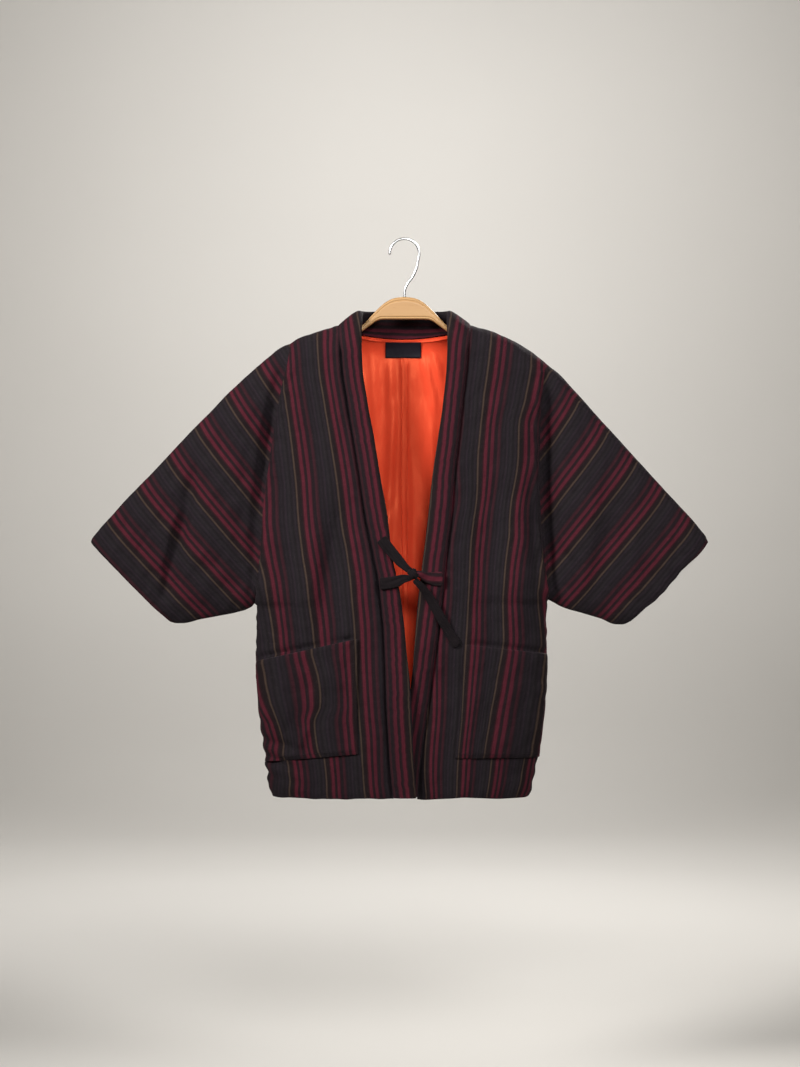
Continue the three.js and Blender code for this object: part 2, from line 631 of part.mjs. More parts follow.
// Pockets: patches on the fronts, one edge in the side seam.
// Parts of the width run from the side seam (0) to the collar's seam (1).
const POCKETS = {
  right: { outerTop: -674, outerBottom: -832, innerTop: -637, innerBottom: -817, partTop: 0.79, partBottom: 0.755 },
  left: { outerTop: -662, outerBottom: -824, innerTop: -646, innerBottom: -824, partTop: 0.745, partBottom: 0.71 },
};
const POCKET_START = 0.018;
const POCKET_ROWS = 8;
const POCKET_CLEAR = 1.1; // between the pocket's back and the front it lies on

function frontNormal(side, x, z) {
  const e = 2;
  const dx = (frontPoint(side, x + e, z).y - frontPoint(side, x - e, z).y) / (2 * e);
  const dz = (frontPoint(side, x, z + e).y - frontPoint(side, x, z - e).y) / (2 * e);
  return new THREE.Vector3(dx, -1, dz).normalize();
}

for (const side of ['right', 'left']) {
  const pocket = POCKETS[side];
  const grid = [];
  for (let i = 0; i <= POCKET_ROWS; i += 1) {
    const down = i / POCKET_ROWS;
    const end = mix(pocket.partTop, pocket.partBottom, down);
    const parts = [POCKET_START];
    const last = Math.min(pocket.partTop, pocket.partBottom) - 0.02;
    parts.push(...COLUMN_PARTS.filter((part) => part > POCKET_START && part < last));
    parts.push(end);
    grid.push(parts.map((part) => {
      const top = mix(pocket.outerTop, pocket.innerTop, part / end);
      const bottom = mix(pocket.outerBottom, pocket.innerBottom, part / end);
      const z = mix(top, bottom, down);
      return { x: mix(sideX[side](z), seamX[side](z), part), z };
    }));
  }
  const lift = (height) => grid.map((row) => row.map(({ x, z }) => frontPoint(side, x, z)
    .addScaledVector(frontNormal(side, x, z), height)));
  addPiece(`pocket_${side}`, shellMesh(lift(POCKET_CLEAR + POCKET_THICK), lift(POCKET_CLEAR), false),
    COLOURS.cloth, FINISH.cloth);
}

// Label on the lining below the back neck
const LABEL = { width: 57, height: 24, thick: 0.8, x: -2, z: -174, clear: 0.9 };
const LABEL_COLUMNS = 6;
const LABEL_ROWS = 3;

// Distance behind the hanger's plane of a grid's face at a point seen from the front
function faceAt(grid, x, z) {
  for (let i = 0; i + 1 < grid.length; i += 1) {
    for (let j = 0; j + 1 < grid[0].length; j += 1) {
      const quad = [grid[i][j], grid[i][j + 1], grid[i + 1][j + 1], grid[i + 1][j]];
      for (const [a, b, c] of [[quad[0], quad[1], quad[2]], [quad[0], quad[2], quad[3]]]) {
        const area = (b.x - a.x) * (c.z - a.z) - (c.x - a.x) * (b.z - a.z);
        const v = ((x - a.x) * (c.z - a.z) - (c.x - a.x) * (z - a.z)) / area;
        const w = ((b.x - a.x) * (z - a.z) - (x - a.x) * (b.z - a.z)) / area;
        if (v >= 0 && w >= 0 && v + w <= 1) return a.y + v * (b.y - a.y) + w * (c.y - a.y);
      }
    }
  }
  return null;
}

{
  const face = (lift) => {
    const rows = [];
    for (let i = 0; i <= LABEL_ROWS; i += 1) {
      const row = [];
      for (let j = 0; j <= LABEL_COLUMNS; j += 1) {
        const x = LABEL.x + LABEL.width * (j / LABEL_COLUMNS - 0.5);
        const z = LABEL.z + LABEL.height * (0.5 - i / LABEL_ROWS);
        const depth = faceAt(linings.right, x, z) ?? faceAt(linings.left, x, z) ?? faceAt(linings.left, x + 1, z);
        row.push(new THREE.Vector3(x, depth - lift, z));
      }
      rows.push(row);
    }
    return rows;
  };
  addPiece('label', shellMesh(face(LABEL.clear), face(LABEL.clear + LABEL.thick), false), COLOURS.label, FINISH.satin);
}

// Ties: flat cloth strips from the collar seams to the knot, and their free ends.
// Lift is the height of a strip's middle over the cloth it crosses.
const KNOT = { x: 14, z: -533, y: -77, width: 20, height: 19, depth: 16, clear: 0.3 };
const TIES = {
  tie_right: [
    { side: 'right', x: -39, z: -549, lift: 2.7, width: 19 }, { side: 'right', x: -26, z: -548, lift: 2.8, width: 19 },
    { side: 'right', x: -12, z: -545, lift: 3.6, width: 18 }, { side: 'right', x: -2, z: -541, lift: 7, width: 14 },
    { side: 'right', x: 5, z: -540, lift: 10.5, width: 10.5 }, { side: 'right', x: 12, z: -538, lift: 12, width: 9 },
  ],
  tie_left: [
    { side: 'left', x: 60, z: -541, lift: 2.8, width: 22 }, { side: 'left', x: 48, z: -541, lift: 3, width: 22 },
    { side: 'left', x: 36, z: -539, lift: 5, width: 17 }, { side: 'left', x: 25, z: -534, lift: 9.5, width: 11 },
    { side: 'left', x: 17, z: -532.5, lift: 11.5, width: 9 },
  ],
  tie_end_upper: [
    { side: 'right', x: -37, z: -478, lift: 2.7, width: 20 }, { side: 'right', x: -30, z: -487, lift: 2.8, width: 20 },
    { side: 'right', x: -19, z: -500, lift: 3.2, width: 18 }, { side: 'right', x: -7, z: -514, lift: 6, width: 15 },
    { side: 'right', x: 3, z: -524, lift: 10.5, width: 11 }, { side: 'right', x: 11, z: -529.5, lift: 12, width: 9 },
  ],
  tie_end_lower: [
    { side: 'left', x: 15.5, z: -542.5, lift: 13.5, width: 9 }, { side: 'left', x: 25, z: -552, lift: 11, width: 11 },
    { side: 'left', x: 37, z: -567, lift: 5, width: 14 }, { side: 'left', x: 47, z: -584, lift: 3, width: 15 },
    { side: 'left', x: 58, z: -604, lift: 2.8, width: 15 }, { side: 'left', x: 70, z: -625, lift: 2.8, width: 15 },
    { side: 'left', x: 84, z: -647, lift: 2.8, width: 15 },
  ],
};
const KNOT_RINGS = 8;
const KNOT_POINTS = 12;

// Front of the cloth that a tie crosses: the collar, or the front beside it
function tieGround(side, x, z) {
  const onBand = side === 'right' ? x > seamX.right(z) : x < seamX.left(z) + 4;
  return frontPoint(side, x, z).y - (onBand ? COLLAR_PROUD + COLLAR_PUFF : 0);
}

function knotMesh(grow) {
  const rings = [];
  for (let i = 0; i <= KNOT_RINGS; i += 1) {
    const turn = mix(0.12, 0.88, i / KNOT_RINGS) * Math.PI;
    const ring = [];
    for (let j = 0; j < KNOT_POINTS; j += 1) {
      const a = (2 * Math.PI * j) / KNOT_POINTS;
      ring.push(new THREE.Vector3(
        KNOT.x + (KNOT.width / 2 + grow) * Math.sin(turn) * Math.cos(a),
        KNOT.y + (KNOT.depth / 2 + grow) * Math.sin(turn) * Math.sin(a),
        KNOT.z + (KNOT.height / 2 + grow) * Math.cos(turn),
      ));
    }
    rings.push(ring);
  }
  return loftMesh(rings);
}

const STRAP_STEPS = 10;
const STRAP_SECTION = [
  { across: -0.5, out: 0.3 }, { across: -0.42, out: 0.5 }, { across: 0, out: 0.56 }, { across: 0.42, out: 0.5 },
  { across: 0.5, out: 0.3 }, { across: 0.5, out: -0.3 }, { across: 0.42, out: -0.5 }, { across: 0, out: -0.5 },
  { across: -0.42, out: -0.5 }, { across: -0.5, out: -0.3 },
];

function strap(rows) {
  const points = rows.map((r) => new THREE.Vector3(r.x, tieGround(r.side, r.x, r.z) - r.lift, r.z));
  const path = new THREE.CatmullRomCurve3(points, false, 'centripetal');
  const sections = [];
  for (let k = 0; k <= STRAP_STEPS; k += 1) {
    const t = k / STRAP_STEPS;
    const centre = path.getPoint(t);
    const along = path.getTangent(t);
    const place = t * (rows.length - 1);
    const from = rows[Math.min(rows.length - 2, Math.floor(place))];
    const to = rows[Math.min(rows.length - 1, Math.floor(place) + 1)];
    const width = mix(from.width, to.width, place - Math.min(rows.length - 2, Math.floor(place)));
    const wide = new THREE.Vector3(0, -1, 0).cross(along).normalize();
    const out = along.clone().cross(wide).normalize();
    sections.push(STRAP_SECTION.map(({ across, out: height }) => centre.clone()
      .addScaledVector(wide, across * width).addScaledVector(out, height * TIE_THICK)));
  }
  return loftMesh(sections);
}
for (const [name, rows] of Object.entries(TIES)) {
  addPiece(name, cut(strap(rows), knotMesh(KNOT.clear)), COLOURS.tie, FINISH.cloth);
}
addPiece('knot', knotMesh(0), COLOURS.tie, FINISH.cloth);

// Wooden hanger: upper and lower edge seen from the front, the same on both sides of the middle
const HANGER_THICK = 12;
const HANGER_ROUND = 3.6;
const HANGER_EDGES = [
  { x: 0, top: -91, bottom: -127.5 }, { x: 12, top: -92.4, bottom: -127.5 }, { x: 20, top: -94.4, bottom: -127.5 },
  { x: 28, top: -98.4, bottom: -127.5 }, { x: 36, top: -104.2, bottom: -127.8 }, { x: 44, top: -111.8, bottom: -129.8 },
  { x: 52, top: -120.2, bottom: -135 }, { x: 60, top: -129, bottom: -140.5 }, { x: 66, top: -135, bottom: -145 },
  { x: 78, top: -141.8, bottom: -152.5 }, { x: 92, top: -145.2, bottom: -157.5 },
  { x: 108, top: -148.1, bottom: -162.5 }, { x: 120, top: -151.2, bottom: -166.5 },
  { x: 132, top: -154.7, bottom: -170.5 }, { x: 148, top: -160.4, bottom: -177 }, { x: 164, top: -167.1, bottom: -184 },
  { x: 180, top: -176.4, bottom: -192 }, { x: 194, top: -185.2, bottom: -199 }, { x: 200, top: -190.5, bottom: -197.5 },
];
const BORE = { radius: 2.5, depth: 24 };
const HANGER_STEPS = 21; // on each side of the middle
{
  const top = column(HANGER_EDGES, 'x', 'top');
  const bottom = column(HANGER_EDGES, 'x', 'bottom');
  const reach = HANGER_EDGES[HANGER_EDGES.length - 1].x;
  const sections = [];
  for (let k = -HANGER_STEPS; k <= HANGER_STEPS; k += 1) {
    const x = (reach * k) / HANGER_STEPS;
    const high = top(Math.abs(x));
    const low = bottom(Math.abs(x));
    const round = Math.min(HANGER_ROUND, (high - low) * 0.35);
    const corner = [];
    for (const [y, z, start] of [[1, 1, 0], [-1, 1, 90], [-1, -1, 180], [1, -1, 270]]) {
      for (const degrees of [0, 45, 90]) {
        const a = THREE.MathUtils.degToRad(start + degrees);
        corner.push(new THREE.Vector3(x, y * (HANGER_THICK / 2 - round) + round * Math.cos(a),
          (high + low) / 2 + z * ((high - low) / 2 - round) + round * Math.sin(a)));
      }
    }
    sections.push(corner);
  }
  const bore = new THREE.CylinderGeometry(BORE.radius, BORE.radius, BORE.depth + 10, 16);
  bore.rotateX(Math.PI / 2);
  bore.translate(0, 0, top(0) + 10 - (BORE.depth + 10) / 2);
  addPiece('hanger', cut(loftMesh(sections), bore), COLOURS.wood, FINISH.wood);
}

// Steel hook: a question mark of wire, its stem in the hanger's bore
const WIRE = 4;
const HOOK_RADIUS = 23.6; // to the middle of the wire
const HOOK_POINTS = 10;
{
  const centreZ = WIRE / 2 - HOOK_RADIUS;
  const points = [];
  for (let degrees = 185; degrees >= -20; degrees -= 12) {
    const a = THREE.MathUtils.degToRad(degrees);
    points.push(new THREE.Vector3(HOOK_RADIUS * Math.cos(a), 0, centreZ + HOOK_RADIUS * Math.sin(a)));
  }
  const tail = [{ x: 19, z: -46 }, { x: 13, z: -59 }, { x: 5, z: -70 }, { x: 0.6, z: -80 }, { x: 0, z: -90 }, { x: 0, z: -111 }];
  for (const { x, z } of tail) points.push(new THREE.Vector3(x, 0, z));
  const path = new THREE.CatmullRomCurve3(points, false, 'centripetal');
  const steps = 44;
  const sections = [];
  for (let k = 0; k <= steps; k += 1) {
    const centre = path.getPointAt(k / steps);
    const along = path.getTangentAt(k / steps);
    const side = new THREE.Vector3(0, 1, 0).cross(along).normalize();
    const ring = [];
    for (let j = 0; j < HOOK_POINTS; j += 1) {
      const a = (2 * Math.PI * j) / HOOK_POINTS;
      ring.push(centre.clone().addScaledVector(side, (WIRE / 2) * Math.cos(a))
        .add(new THREE.Vector3(0, (WIRE / 2) * Math.sin(a), 0)));
    }
    sections.push(ring);
  }
  addPiece('hook', loftMesh(sections), COLOURS.steel, FINISH.steel);
}

export default jacket;
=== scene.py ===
"""A padded hanten jacket on a wooden hanger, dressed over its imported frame.

Sizes in the tables are millimetres."""
import math

import bpy
import numpy as np
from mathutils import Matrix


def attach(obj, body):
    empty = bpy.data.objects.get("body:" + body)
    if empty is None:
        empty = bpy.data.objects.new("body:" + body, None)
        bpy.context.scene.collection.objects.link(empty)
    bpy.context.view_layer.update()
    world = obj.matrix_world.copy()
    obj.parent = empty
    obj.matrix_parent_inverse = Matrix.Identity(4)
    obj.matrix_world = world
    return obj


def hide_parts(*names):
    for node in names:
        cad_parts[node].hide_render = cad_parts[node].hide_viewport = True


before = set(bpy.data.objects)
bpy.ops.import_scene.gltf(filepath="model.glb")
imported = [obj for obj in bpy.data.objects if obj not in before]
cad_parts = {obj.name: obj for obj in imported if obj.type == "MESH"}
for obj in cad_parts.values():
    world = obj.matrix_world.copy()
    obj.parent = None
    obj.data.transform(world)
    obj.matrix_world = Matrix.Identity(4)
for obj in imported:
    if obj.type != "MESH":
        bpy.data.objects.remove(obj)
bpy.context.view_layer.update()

# Camera: straight on, the whole 800 x 1067 picture is 1.707 m tall at the hanger
PICTURE_TALL = 1067 * 0.0016
CAMERA_AWAY = 4.5
camera_data = bpy.data.cameras.new("camera")
camera_data.sensor_width = 36
camera_data.lens = 18 / (PICTURE_TALL / 2 / CAMERA_AWAY)
camera = bpy.data.objects.new("camera", camera_data)
camera.location = (-0.0072, -CAMERA_AWAY, -0.4696)
camera.rotation_euler = (math.radians(90), 0, 0)
bpy.context.scene.collection.objects.link(camera)
bpy.context.scene.camera = camera

# Sizes of the jacket's cloth; right and left are the wearer's, and the right lies at -x
SIDES = ("right", "left")
SIGN = {"right": -1, "left": 1}
WALL = 8
THIN_WALL = 2.5
LEAST_WALL = 1.4
EDGE_BULGE = 2.2
FOLD_DEPTH = 22
SEAM_GAP = -0.2
SHOULDER_ROUND = 45
UNDERARM_ROUND = 42
ARMHOLE_DEPTH = 30
SLEEVE_DEPTH = 34
CUFF_DEPTH = 25
HEM_Z = -887
NECK_BACK_Y = 38
NECK_BACK_DROP = 45
BAND_GAP = -0.3
COLLAR_PROUD = 2.6
COLLAR_PUFF = 1.5
NECK_FREE_X = 69.6
NECK_FREE_Z = -113
LAP_TOP_Z = -640
LAP_LENGTH = 90
LAP = {"right": 7, "left": -9}
LAP_FADE = 80
UNDERARM_Z = {"right": -584, "left": -579}
STRIPE_REPEAT = 68
BACK_REPEAT = 65
BACK_STRIPE_X = 101.3
# First of the random draws for each kind of piece
SEEDS = {"body": {"right": 10, "left": 40}, "sleeve": {"right": 70, "left": 90},
         "pocket": {"right": 160, "left": 180}}

ARMHOLE_STEPS = [0, 0.016, 0.045, 0.1, 0.18, 0.27, 0.36, 0.45, 0.54, 0.63, 0.72, 0.8, 0.875, 0.932,
                 0.969, 0.992, 1]
COLUMN_PARTS = [0, 0.018, 0.055, 0.12, 0.21, 0.32, 0.44, 0.58, 0.72, 0.86, 1]

# (z, x) down the outer edge of each body length
BODY_SIDE = {
    "right": [
        (-887, -213), (-867, -217), (-829, -222), (-771, -230), (-736, -234), (-656, -237.5),
        (-584, -236), (-512, -231), (-456, -227.5), (-368, -217.5), (-291, -205.5), (-245, -197.5),
        (-189, -185.5), (-166, -183),
    ],
    "left": [
        (-887, 201), (-867, 205), (-829, 213.5), (-771, 221.5), (-736, 225), (-656, 228), (-579, 227.5),
        (-512, 223), (-430, 217.5), (-368, 216), (-304, 216.5), (-248, 220), (-196, 225),
    ],
}
# (z, x) down the seam between each front and the collar
COLLAR_SEAM = {
    "right": [
        (-887, -17.6), (-853, -21.6), (-803, -25), (-736, -28.6), (-653, -31.4), (-574, -37.6),
        (-501, -49), (-443, -61), (-384, -70), (-315, -81), (-254, -91), (-192, -99), (-137, -101.6),
    ],
    "left": [
        (-887, 20), (-819, 26.4), (-762, 34.4), (-702, 42.4), (-648, 49.6), (-563, 60), (-518, 64),
        (-451, 72.5), (-384, 78), (-315, 85.6), (-254, 92), (-192, 98.6), (-137, 101),
    ],
}
# (z, x) down the collar's free edge
COLLAR_FREE = {
    "right": [
        (-887, 18.4), (-803, 13.1), (-736, 10.4), (-653, 2.9), (-574, -5.6), (-501, -20), (-443, -27),
        (-384, -37.6), (-315, -48.8), (-254, -60), (-192, -67.6), (-137, -69.6),
    ],
    "left": [
        (-887, -14), (-819, -8), (-762, 1), (-702, 11), (-648, 15.5), (-563, 22.6), (-518, 28),
        (-451, 36.5), (-384, 43.6), (-315, 53.6), (-254, 62), (-192, 67.4), (-137, 69.6),
    ],
}
# (x, z) along the shoulders
SHOULDER = [
    (-238, -202), (-183, -166), (-167, -157), (-151, -150.5), (-135, -145.5), (-119, -141),
    (-101.6, -137), (0, -137), (101, -137), (121, -141), (137, -145.5), (153, -152), (169, -158.5),
    (185, -168), (201, -177.5), (225, -196), (240, -208),
]
# (z, front, back): how far the middle of the body stands from the hanger's plane
BODY_DEPTH = [
    (-887, 60, 52), (-800, 64, 56), (-700, 66, 58), (-584, 62, 56), (-400, 58, 54), (-300, 55, 52),
    (-200, 50, 50), (-137, 46, 50),
]
# (x, z) along the upper and lower edges of each sleeve
SLEEVE_TOP = {
    "right": [
        (-183, -166), (-199, -173), (-215, -185.5), (-231, -198.5), (-247, -213), (-263, -227.5),
        (-311, -275.5), (-359, -325), (-407, -376), (-455, -425.5), (-503, -481),
    ],
    "left": [
        (225, -196), (233, -203), (249, -216), (265, -233.5), (281, -251), (313, -286.5), (345, -321.5),
        (377, -357), (409, -392), (441, -427), (473, -462.5), (487, -481),
    ],
}
SLEEVE_BOTTOM = {
    "right": [
        (-236, -584), (-247, -590.5), (-263, -595.5), (-295, -602), (-327, -608), (-359, -614),
        (-374, -613),
    ],
    "left": [
        (227.5, -579), (249, -588), (281, -597), (313, -606.5), (345, -616), (361, -612),
    ],
}
# (x0, z0, x1, z1, reach, height) of each fold; a height below 0 is a trough
FOLDS = {
    "front": [
        (-105, -474, -128, -560, 26, -5), (-76, -560, -112, -690, 30, 4),
        (-126, -730, -168, -830, 26, -5), (-232, -800, -188, -822, 20, -4),
        (-228, -846, -190, -850, 18, 3), (-208, -250, -226, -440, 22, -7),
        (222, -225, 220, -560, 20, -11), (176, -260, 182, -520, 32, 4), (-340, -368, -378, -560, 24, -7),
        (-300, -330, -318, -590, 34, 5), (300, -380, 262, -560, 30, 5), (268, -420, 250, -570, 20, -5),
    ],
    "back": [
        (-212, -240, -224, -540, 22, -9), (218, -240, 220, -550, 22, -9), (-90, -420, -130, -800, 36, 5),
        (80, -460, 130, -820, 36, 5), (-20, -520, 14, -860, 34, -5), (-310, -360, -330, -580, 26, -6),
        (300, -360, 290, -580, 26, -6),
    ],
}
# Smaller creases in the same form, on the dressed cloth alone
CREASES = {
    "front": [
        (-222, -778, -176, -800, 8, -2.2), (-226, -806, -186, -812, 6, -1.8),
        (-136, -400, -164, -640, 20, 6.5), (-98, -420, -130, -660, 19, -8),
        (-190, -500, -204, -660, 18, -4), (150, -420, 138, -640, 20, -5.5),
        (186, -400, 184, -640, 18, 4.5), (-56, -470, -84, -640, 12, -2.4),
        (-150, -300, -172, -560, 13, -2.6), (-84, -250, -104, -400, 11, -2.2),
        (108, -300, 122, -560, 13, -2.4), (-224, -826, -196, -833, 6, -1.6),
        (-232, -750, -204, -764, 9, 1.6), (-127, -736, -168, -820, 12, -2.4),
        (-94, -430, -124, -640, 13, -6.2), (-72, -600, -98, -840, 12, -3),
        (-334, -366, -352, -452, 8, -7.5), (-350, -440, -376, -528, 7, -9.5),
        (-374, -520, -382, -572, 7, -6.5), (-328, -300, -342, -372, 12, 1.8),
        (-364, -416, -394, -540, 11, 4.6), (-326, -440, -348, -560, 15, 4),
        (-398, -452, -424, -500, 8, -2.6), (-288, -300, -296, -352, 8, -3),
        (-270, -470, -262, -584, 16, -4.5), (282, -290, 296, -360, 9, -3.4),
        (330, -400, 312, -560, 15, -4), (372, -420, 366, -560, 12, 2.8),
        (-230, -226, -246, -262, 7, -2.4), (-244, -222, -238, -280, 9, 1.6),
        (-206, -262, -216, -360, 9, -4.2), (-216, -360, -222, -470, 11, -4.4),
        (-258, -420, -240, -560, 15, -2.2), (-282, -450, -262, -586, 12, 1.6),
        (236, -246, 232, -380, 11, -5.5), (232, -380, 236, -520, 14, -6), (270, -262, 258, -300, 8, -1.8),
        (262, -250, 276, -262, 7, 1.4), (250, -470, 262, -580, 13, -5), (290, -500, 270, -590, 12, 1.4),
        (134, -400, 112, -600, 13, -3.2), (160, -380, 150, -600, 13, 2.4), (96, -600, 120, -700, 16, 1.6),
        (204, -420, 208, -560, 12, -1.8), (206, -800, 178, -812, 8, -1.4), (203, -772, 168, -780, 9, 1.2),
        (196, -852, 168, -850, 8, -1.3), (-90, -240, -130, -250, 12, 1), (100, -230, 140, -262, 14, -1.2),
        (-160, -214, -176, -300, 14, 1.4), (196, -230, 190, -320, 12, 1.6),
    ],
    "back": [
        (-206, -262, -216, -420, 10, -3), (214, -262, 216, -430, 11, -3.2),
        (-150, -230, -176, -330, 16, 1.8), (140, -236, 172, -322, 17, -1.7),
        (-60, -260, -44, -372, 18, -1.5), (42, -236, 62, -330, 17, 1.4), (-124, -560, -150, -690, 15, -2),
        (112, -540, 134, -720, 17, -2), (-226, -770, -186, -788, 9, -1.8),
        (216, -742, 176, -760, 9, -1.9), (-218, -812, -188, -822, 8, 1.3),
        (208, -800, 178, -806, 8, -1.4), (-340, -372, -362, -490, 11, -2.8),
        (-290, -330, -300, -440, 14, 1.7), (318, -372, 330, -480, 11, -2.6),
        (276, -320, 286, -450, 14, 1.6), (-258, -430, -246, -560, 13, -2.2),
        (254, -410, 246, -566, 14, -2.2), (-8, -700, 20, -850, 16, -1.8), (34, -610, 44, -760, 20, 1.4),
    ],
}


def table_curve(rows, turn=0, to=1):
    """Monotone cubic through a table's rows, from one column to another."""
    xs, ys = np.array(sorted((row[turn], row[to]) for row in rows), float).T
    steps = np.diff(ys) / np.diff(xs)
    before, after = steps[:-1], steps[1:]
    both = np.where(before * after > 0, before + after, 1)
    inner = np.where(before * after > 0, 2 * before * after / both, 0)
    slopes = np.concatenate([steps[:1], inner, steps[-1:]])

    def at(value):
        value = np.clip(np.asarray(value, float), xs[0], xs[-1])
        i = np.clip(np.searchsorted(xs, value, side="right") - 1, 0, len(xs) - 2)
        h = xs[i + 1] - xs[i]
        t = (value - xs[i]) / h
        a = ys[i] + t * h * slopes[i]
        b = ys[i + 1] - (1 - t) * h * slopes[i + 1]
        s = t * t * (3 - 2 * t)
        return a * (1 - s) + b * s

    return at


def smooth(t):
    t = np.clip(t, 0, 1)
    return t * t * (3 - 2 * t)


def mix(a, b, t):
    return a + (b - a) * t


def quarter(t):
    return np.sqrt(np.maximum(0, 1 - (1 - np.clip(t, 0, 1)) ** 2))


def close_to(distance, reach):
    """1 at no distance, fading to 0 beyond the reach."""
    return np.exp(-(distance / reach) ** 2)


def clear_of(distance, reach):
    return 1 - close_to(distance, reach)


def unit(v):
    return v / np.maximum(1e-9, np.linalg.norm(v, axis=-1, keepdims=True))


def run_along(points):
    """Distance of each point of a line from its start."""
    return np.concatenate([[0], np.cumsum(np.linalg.norm(np.diff(points, axis=0), axis=1))])


def soft_noise(seed, size):
    """Smooth uneven height from a few slanted waves, about -1 to 1; size is the mean wave."""
    rng = np.random.default_rng(seed)
    turns = rng.uniform(0, math.pi, 7)
    waves = 2 * math.pi / (size * rng.uniform(0.6, 1.7, 7))
    starts = rng.uniform(0, 2 * math.pi, 7)

    def at(u, v):
        total = 0
        for turn, wave, start in zip(turns, waves, starts):
            total = total + np.sin(wave * (u * math.cos(turn) + v * math.sin(turn)) + start)
        return total / 3.2

    return at


side_x = {side: table_curve(BODY_SIDE[side]) for side in BODY_SIDE}
seam_x = {side: table_curve(COLLAR_SEAM[side]) for side in COLLAR_SEAM}
free_x = {side: table_curve(COLLAR_FREE[side]) for side in COLLAR_FREE}
shoulder_z = table_curve(SHOULDER)
body_depth = {"front": table_curve(BODY_DEPTH), "back": table_curve(BODY_DEPTH, to=2)}


def uneven(seed, u, v, *waves):
    """Noises of several (size, height), each from a seed of its own."""
    return sum(height * soft_noise(seed + n, size)(u, v) for n, (size, height) in enumerate(waves))


def fold_height(rows, x, z):
    """Height of a table's folds at a place; each fades at its ends and across its reach."""
    total = np.zeros(np.broadcast(x, z).shape)
    for x0, z0, x1, z1, reach, height in rows:
        dx, dz = x1 - x0, z1 - z0
        t = np.clip(((x - x0) * dx + (z - z0) * dz) / (dx * dx + dz * dz), 0, 1)
        away = np.hypot(x - x0 - t * dx, z - z0 - t * dz) / reach
        total = total + height * np.exp(-away * away) * (0.35 + 0.65 * np.sin(math.pi * t))
    return total


def folds_round(table, on_front, x, z):
    return np.where(on_front, fold_height(table["front"], x, z), fold_height(table["back"], x, z))


def body_face(layer, x, z):
    """Distance of the body's outer face from the hanger's plane."""
    right, left = side_x["right"](z), side_x["left"](z)
    across = np.minimum(1, np.abs((2 * x - left - right) / (left - right)))
    underarm = np.where(x < 0, UNDERARM_Z["right"], UNDERARM_Z["left"])
    edge = ARMHOLE_DEPTH * quarter((z - underarm) / UNDERARM_ROUND)
    crown = 1 - across ** 2.4
    rounded = np.maximum(0, 1 - across ** 2.8) ** (1 / 2.8)
    shape = mix(crown, rounded, smooth((-430 - z) / 150))
    turn = quarter((shoulder_z(x) - z) / SHOULDER_ROUND)
    depth = turn * (edge + (body_depth[layer](z) - edge) * shape)
    return depth + fold_height(FOLDS[layer], x, z) * np.clip(depth / FOLD_DEPTH, 0, 1)


def lap(side, x, z):
    """The right front laps over the left one below the ties."""
    inward = SIGN[side] * (x - seam_x[side](z))
    near = smooth(1 - np.maximum(0, inward) / LAP_FADE)
    return smooth((LAP_TOP_Z - z) / LAP_LENGTH) * near * LAP[side]


def front_point(side, x, z):
    x, z = np.broadcast_arrays(np.asarray(x, float), np.asarray(z, float))
    return np.stack([x, -body_face("front", x, z) - lap(side, x, z), z], -1)


def back_point(x, z):
    return np.stack([x, body_face("back", x, z), z], -1)


def front_normal(side, x, z):
    e = 2
    dx = (front_point(side, x + e, z) - front_point(side, x - e, z))[..., 1] / (2 * e)
    dz = (front_point(side, x, z + e) - front_point(side, x, z - e))[..., 1] / (2 * e)
    return unit(np.stack([dx, -np.ones_like(dx), dz], -1))


def finer(counts):
    """Places between whole steps: each step is cut into its count of parts."""
    places = [i + k / n for i, n in enumerate(counts) for k in range(n)]
    return np.array(places + [len(counts)], float)


# Grid of each body length: rows run from the front hem over the shoulder to the back hem,
# columns from the side seam or armhole to the collar or the centre back
SKIRT_ROWS = 9
NECK_ROWS = 6
row_places = finer([12] + [9] * 8 + [2, 2, 4, 6, 6, 6, 6, 6, 6, 6, 6, 6, 5, 4, 3, 3])
column_places = finer([4, 3, 4, 5, 5, 5, 6, 6, 7, 13])
column_parts = np.interp(column_places, range(len(COLUMN_PARTS)), COLUMN_PARTS)
near_collar = column_parts > COLUMN_PARTS[-2]
last_step = 1 - COLUMN_PARTS[-2]
column_parts[near_collar] = 1 - last_step * ((1 - column_parts[near_collar]) / last_step) ** 1.7
CAD_TOP = SKIRT_ROWS + len(ARMHOLE_STEPS) - 1
UNDERARM_ROW = int(np.argmin(abs(row_places - SKIRT_ROWS)))
TOP_ROW = len(row_places) - 1
LAST_ROW = 2 * TOP_ROW
armhole_ups = np.interp(row_places[UNDERARM_ROW:] - SKIRT_ROWS, range(len(ARMHOLE_STEPS)), ARMHOLE_STEPS)


def neck_z(x, y):
    """Height at which the back of the body lies a given distance behind the hanger's plane."""
    z = shoulder_z(x) - np.arange(0, NECK_BACK_DROP, 0.05)
    short = body_face("back", np.full_like(z, x), z) < y
    return float(z[np.argmin(short)]) if not short.all() else float(z[-1])


def grid_row(outer_x, outer_z, inner_x, inner_z, part):
    x = mix(outer_x, inner_x, column_parts)
    bulge = shoulder_z(x) - mix(shoulder_z(outer_x), shoulder_z(inner_x), column_parts)
    z = mix(outer_z, inner_z, column_parts) + bulge * smooth((part - 0.6) / 0.4)
    return x, np.minimum(z, shoulder_z(x))


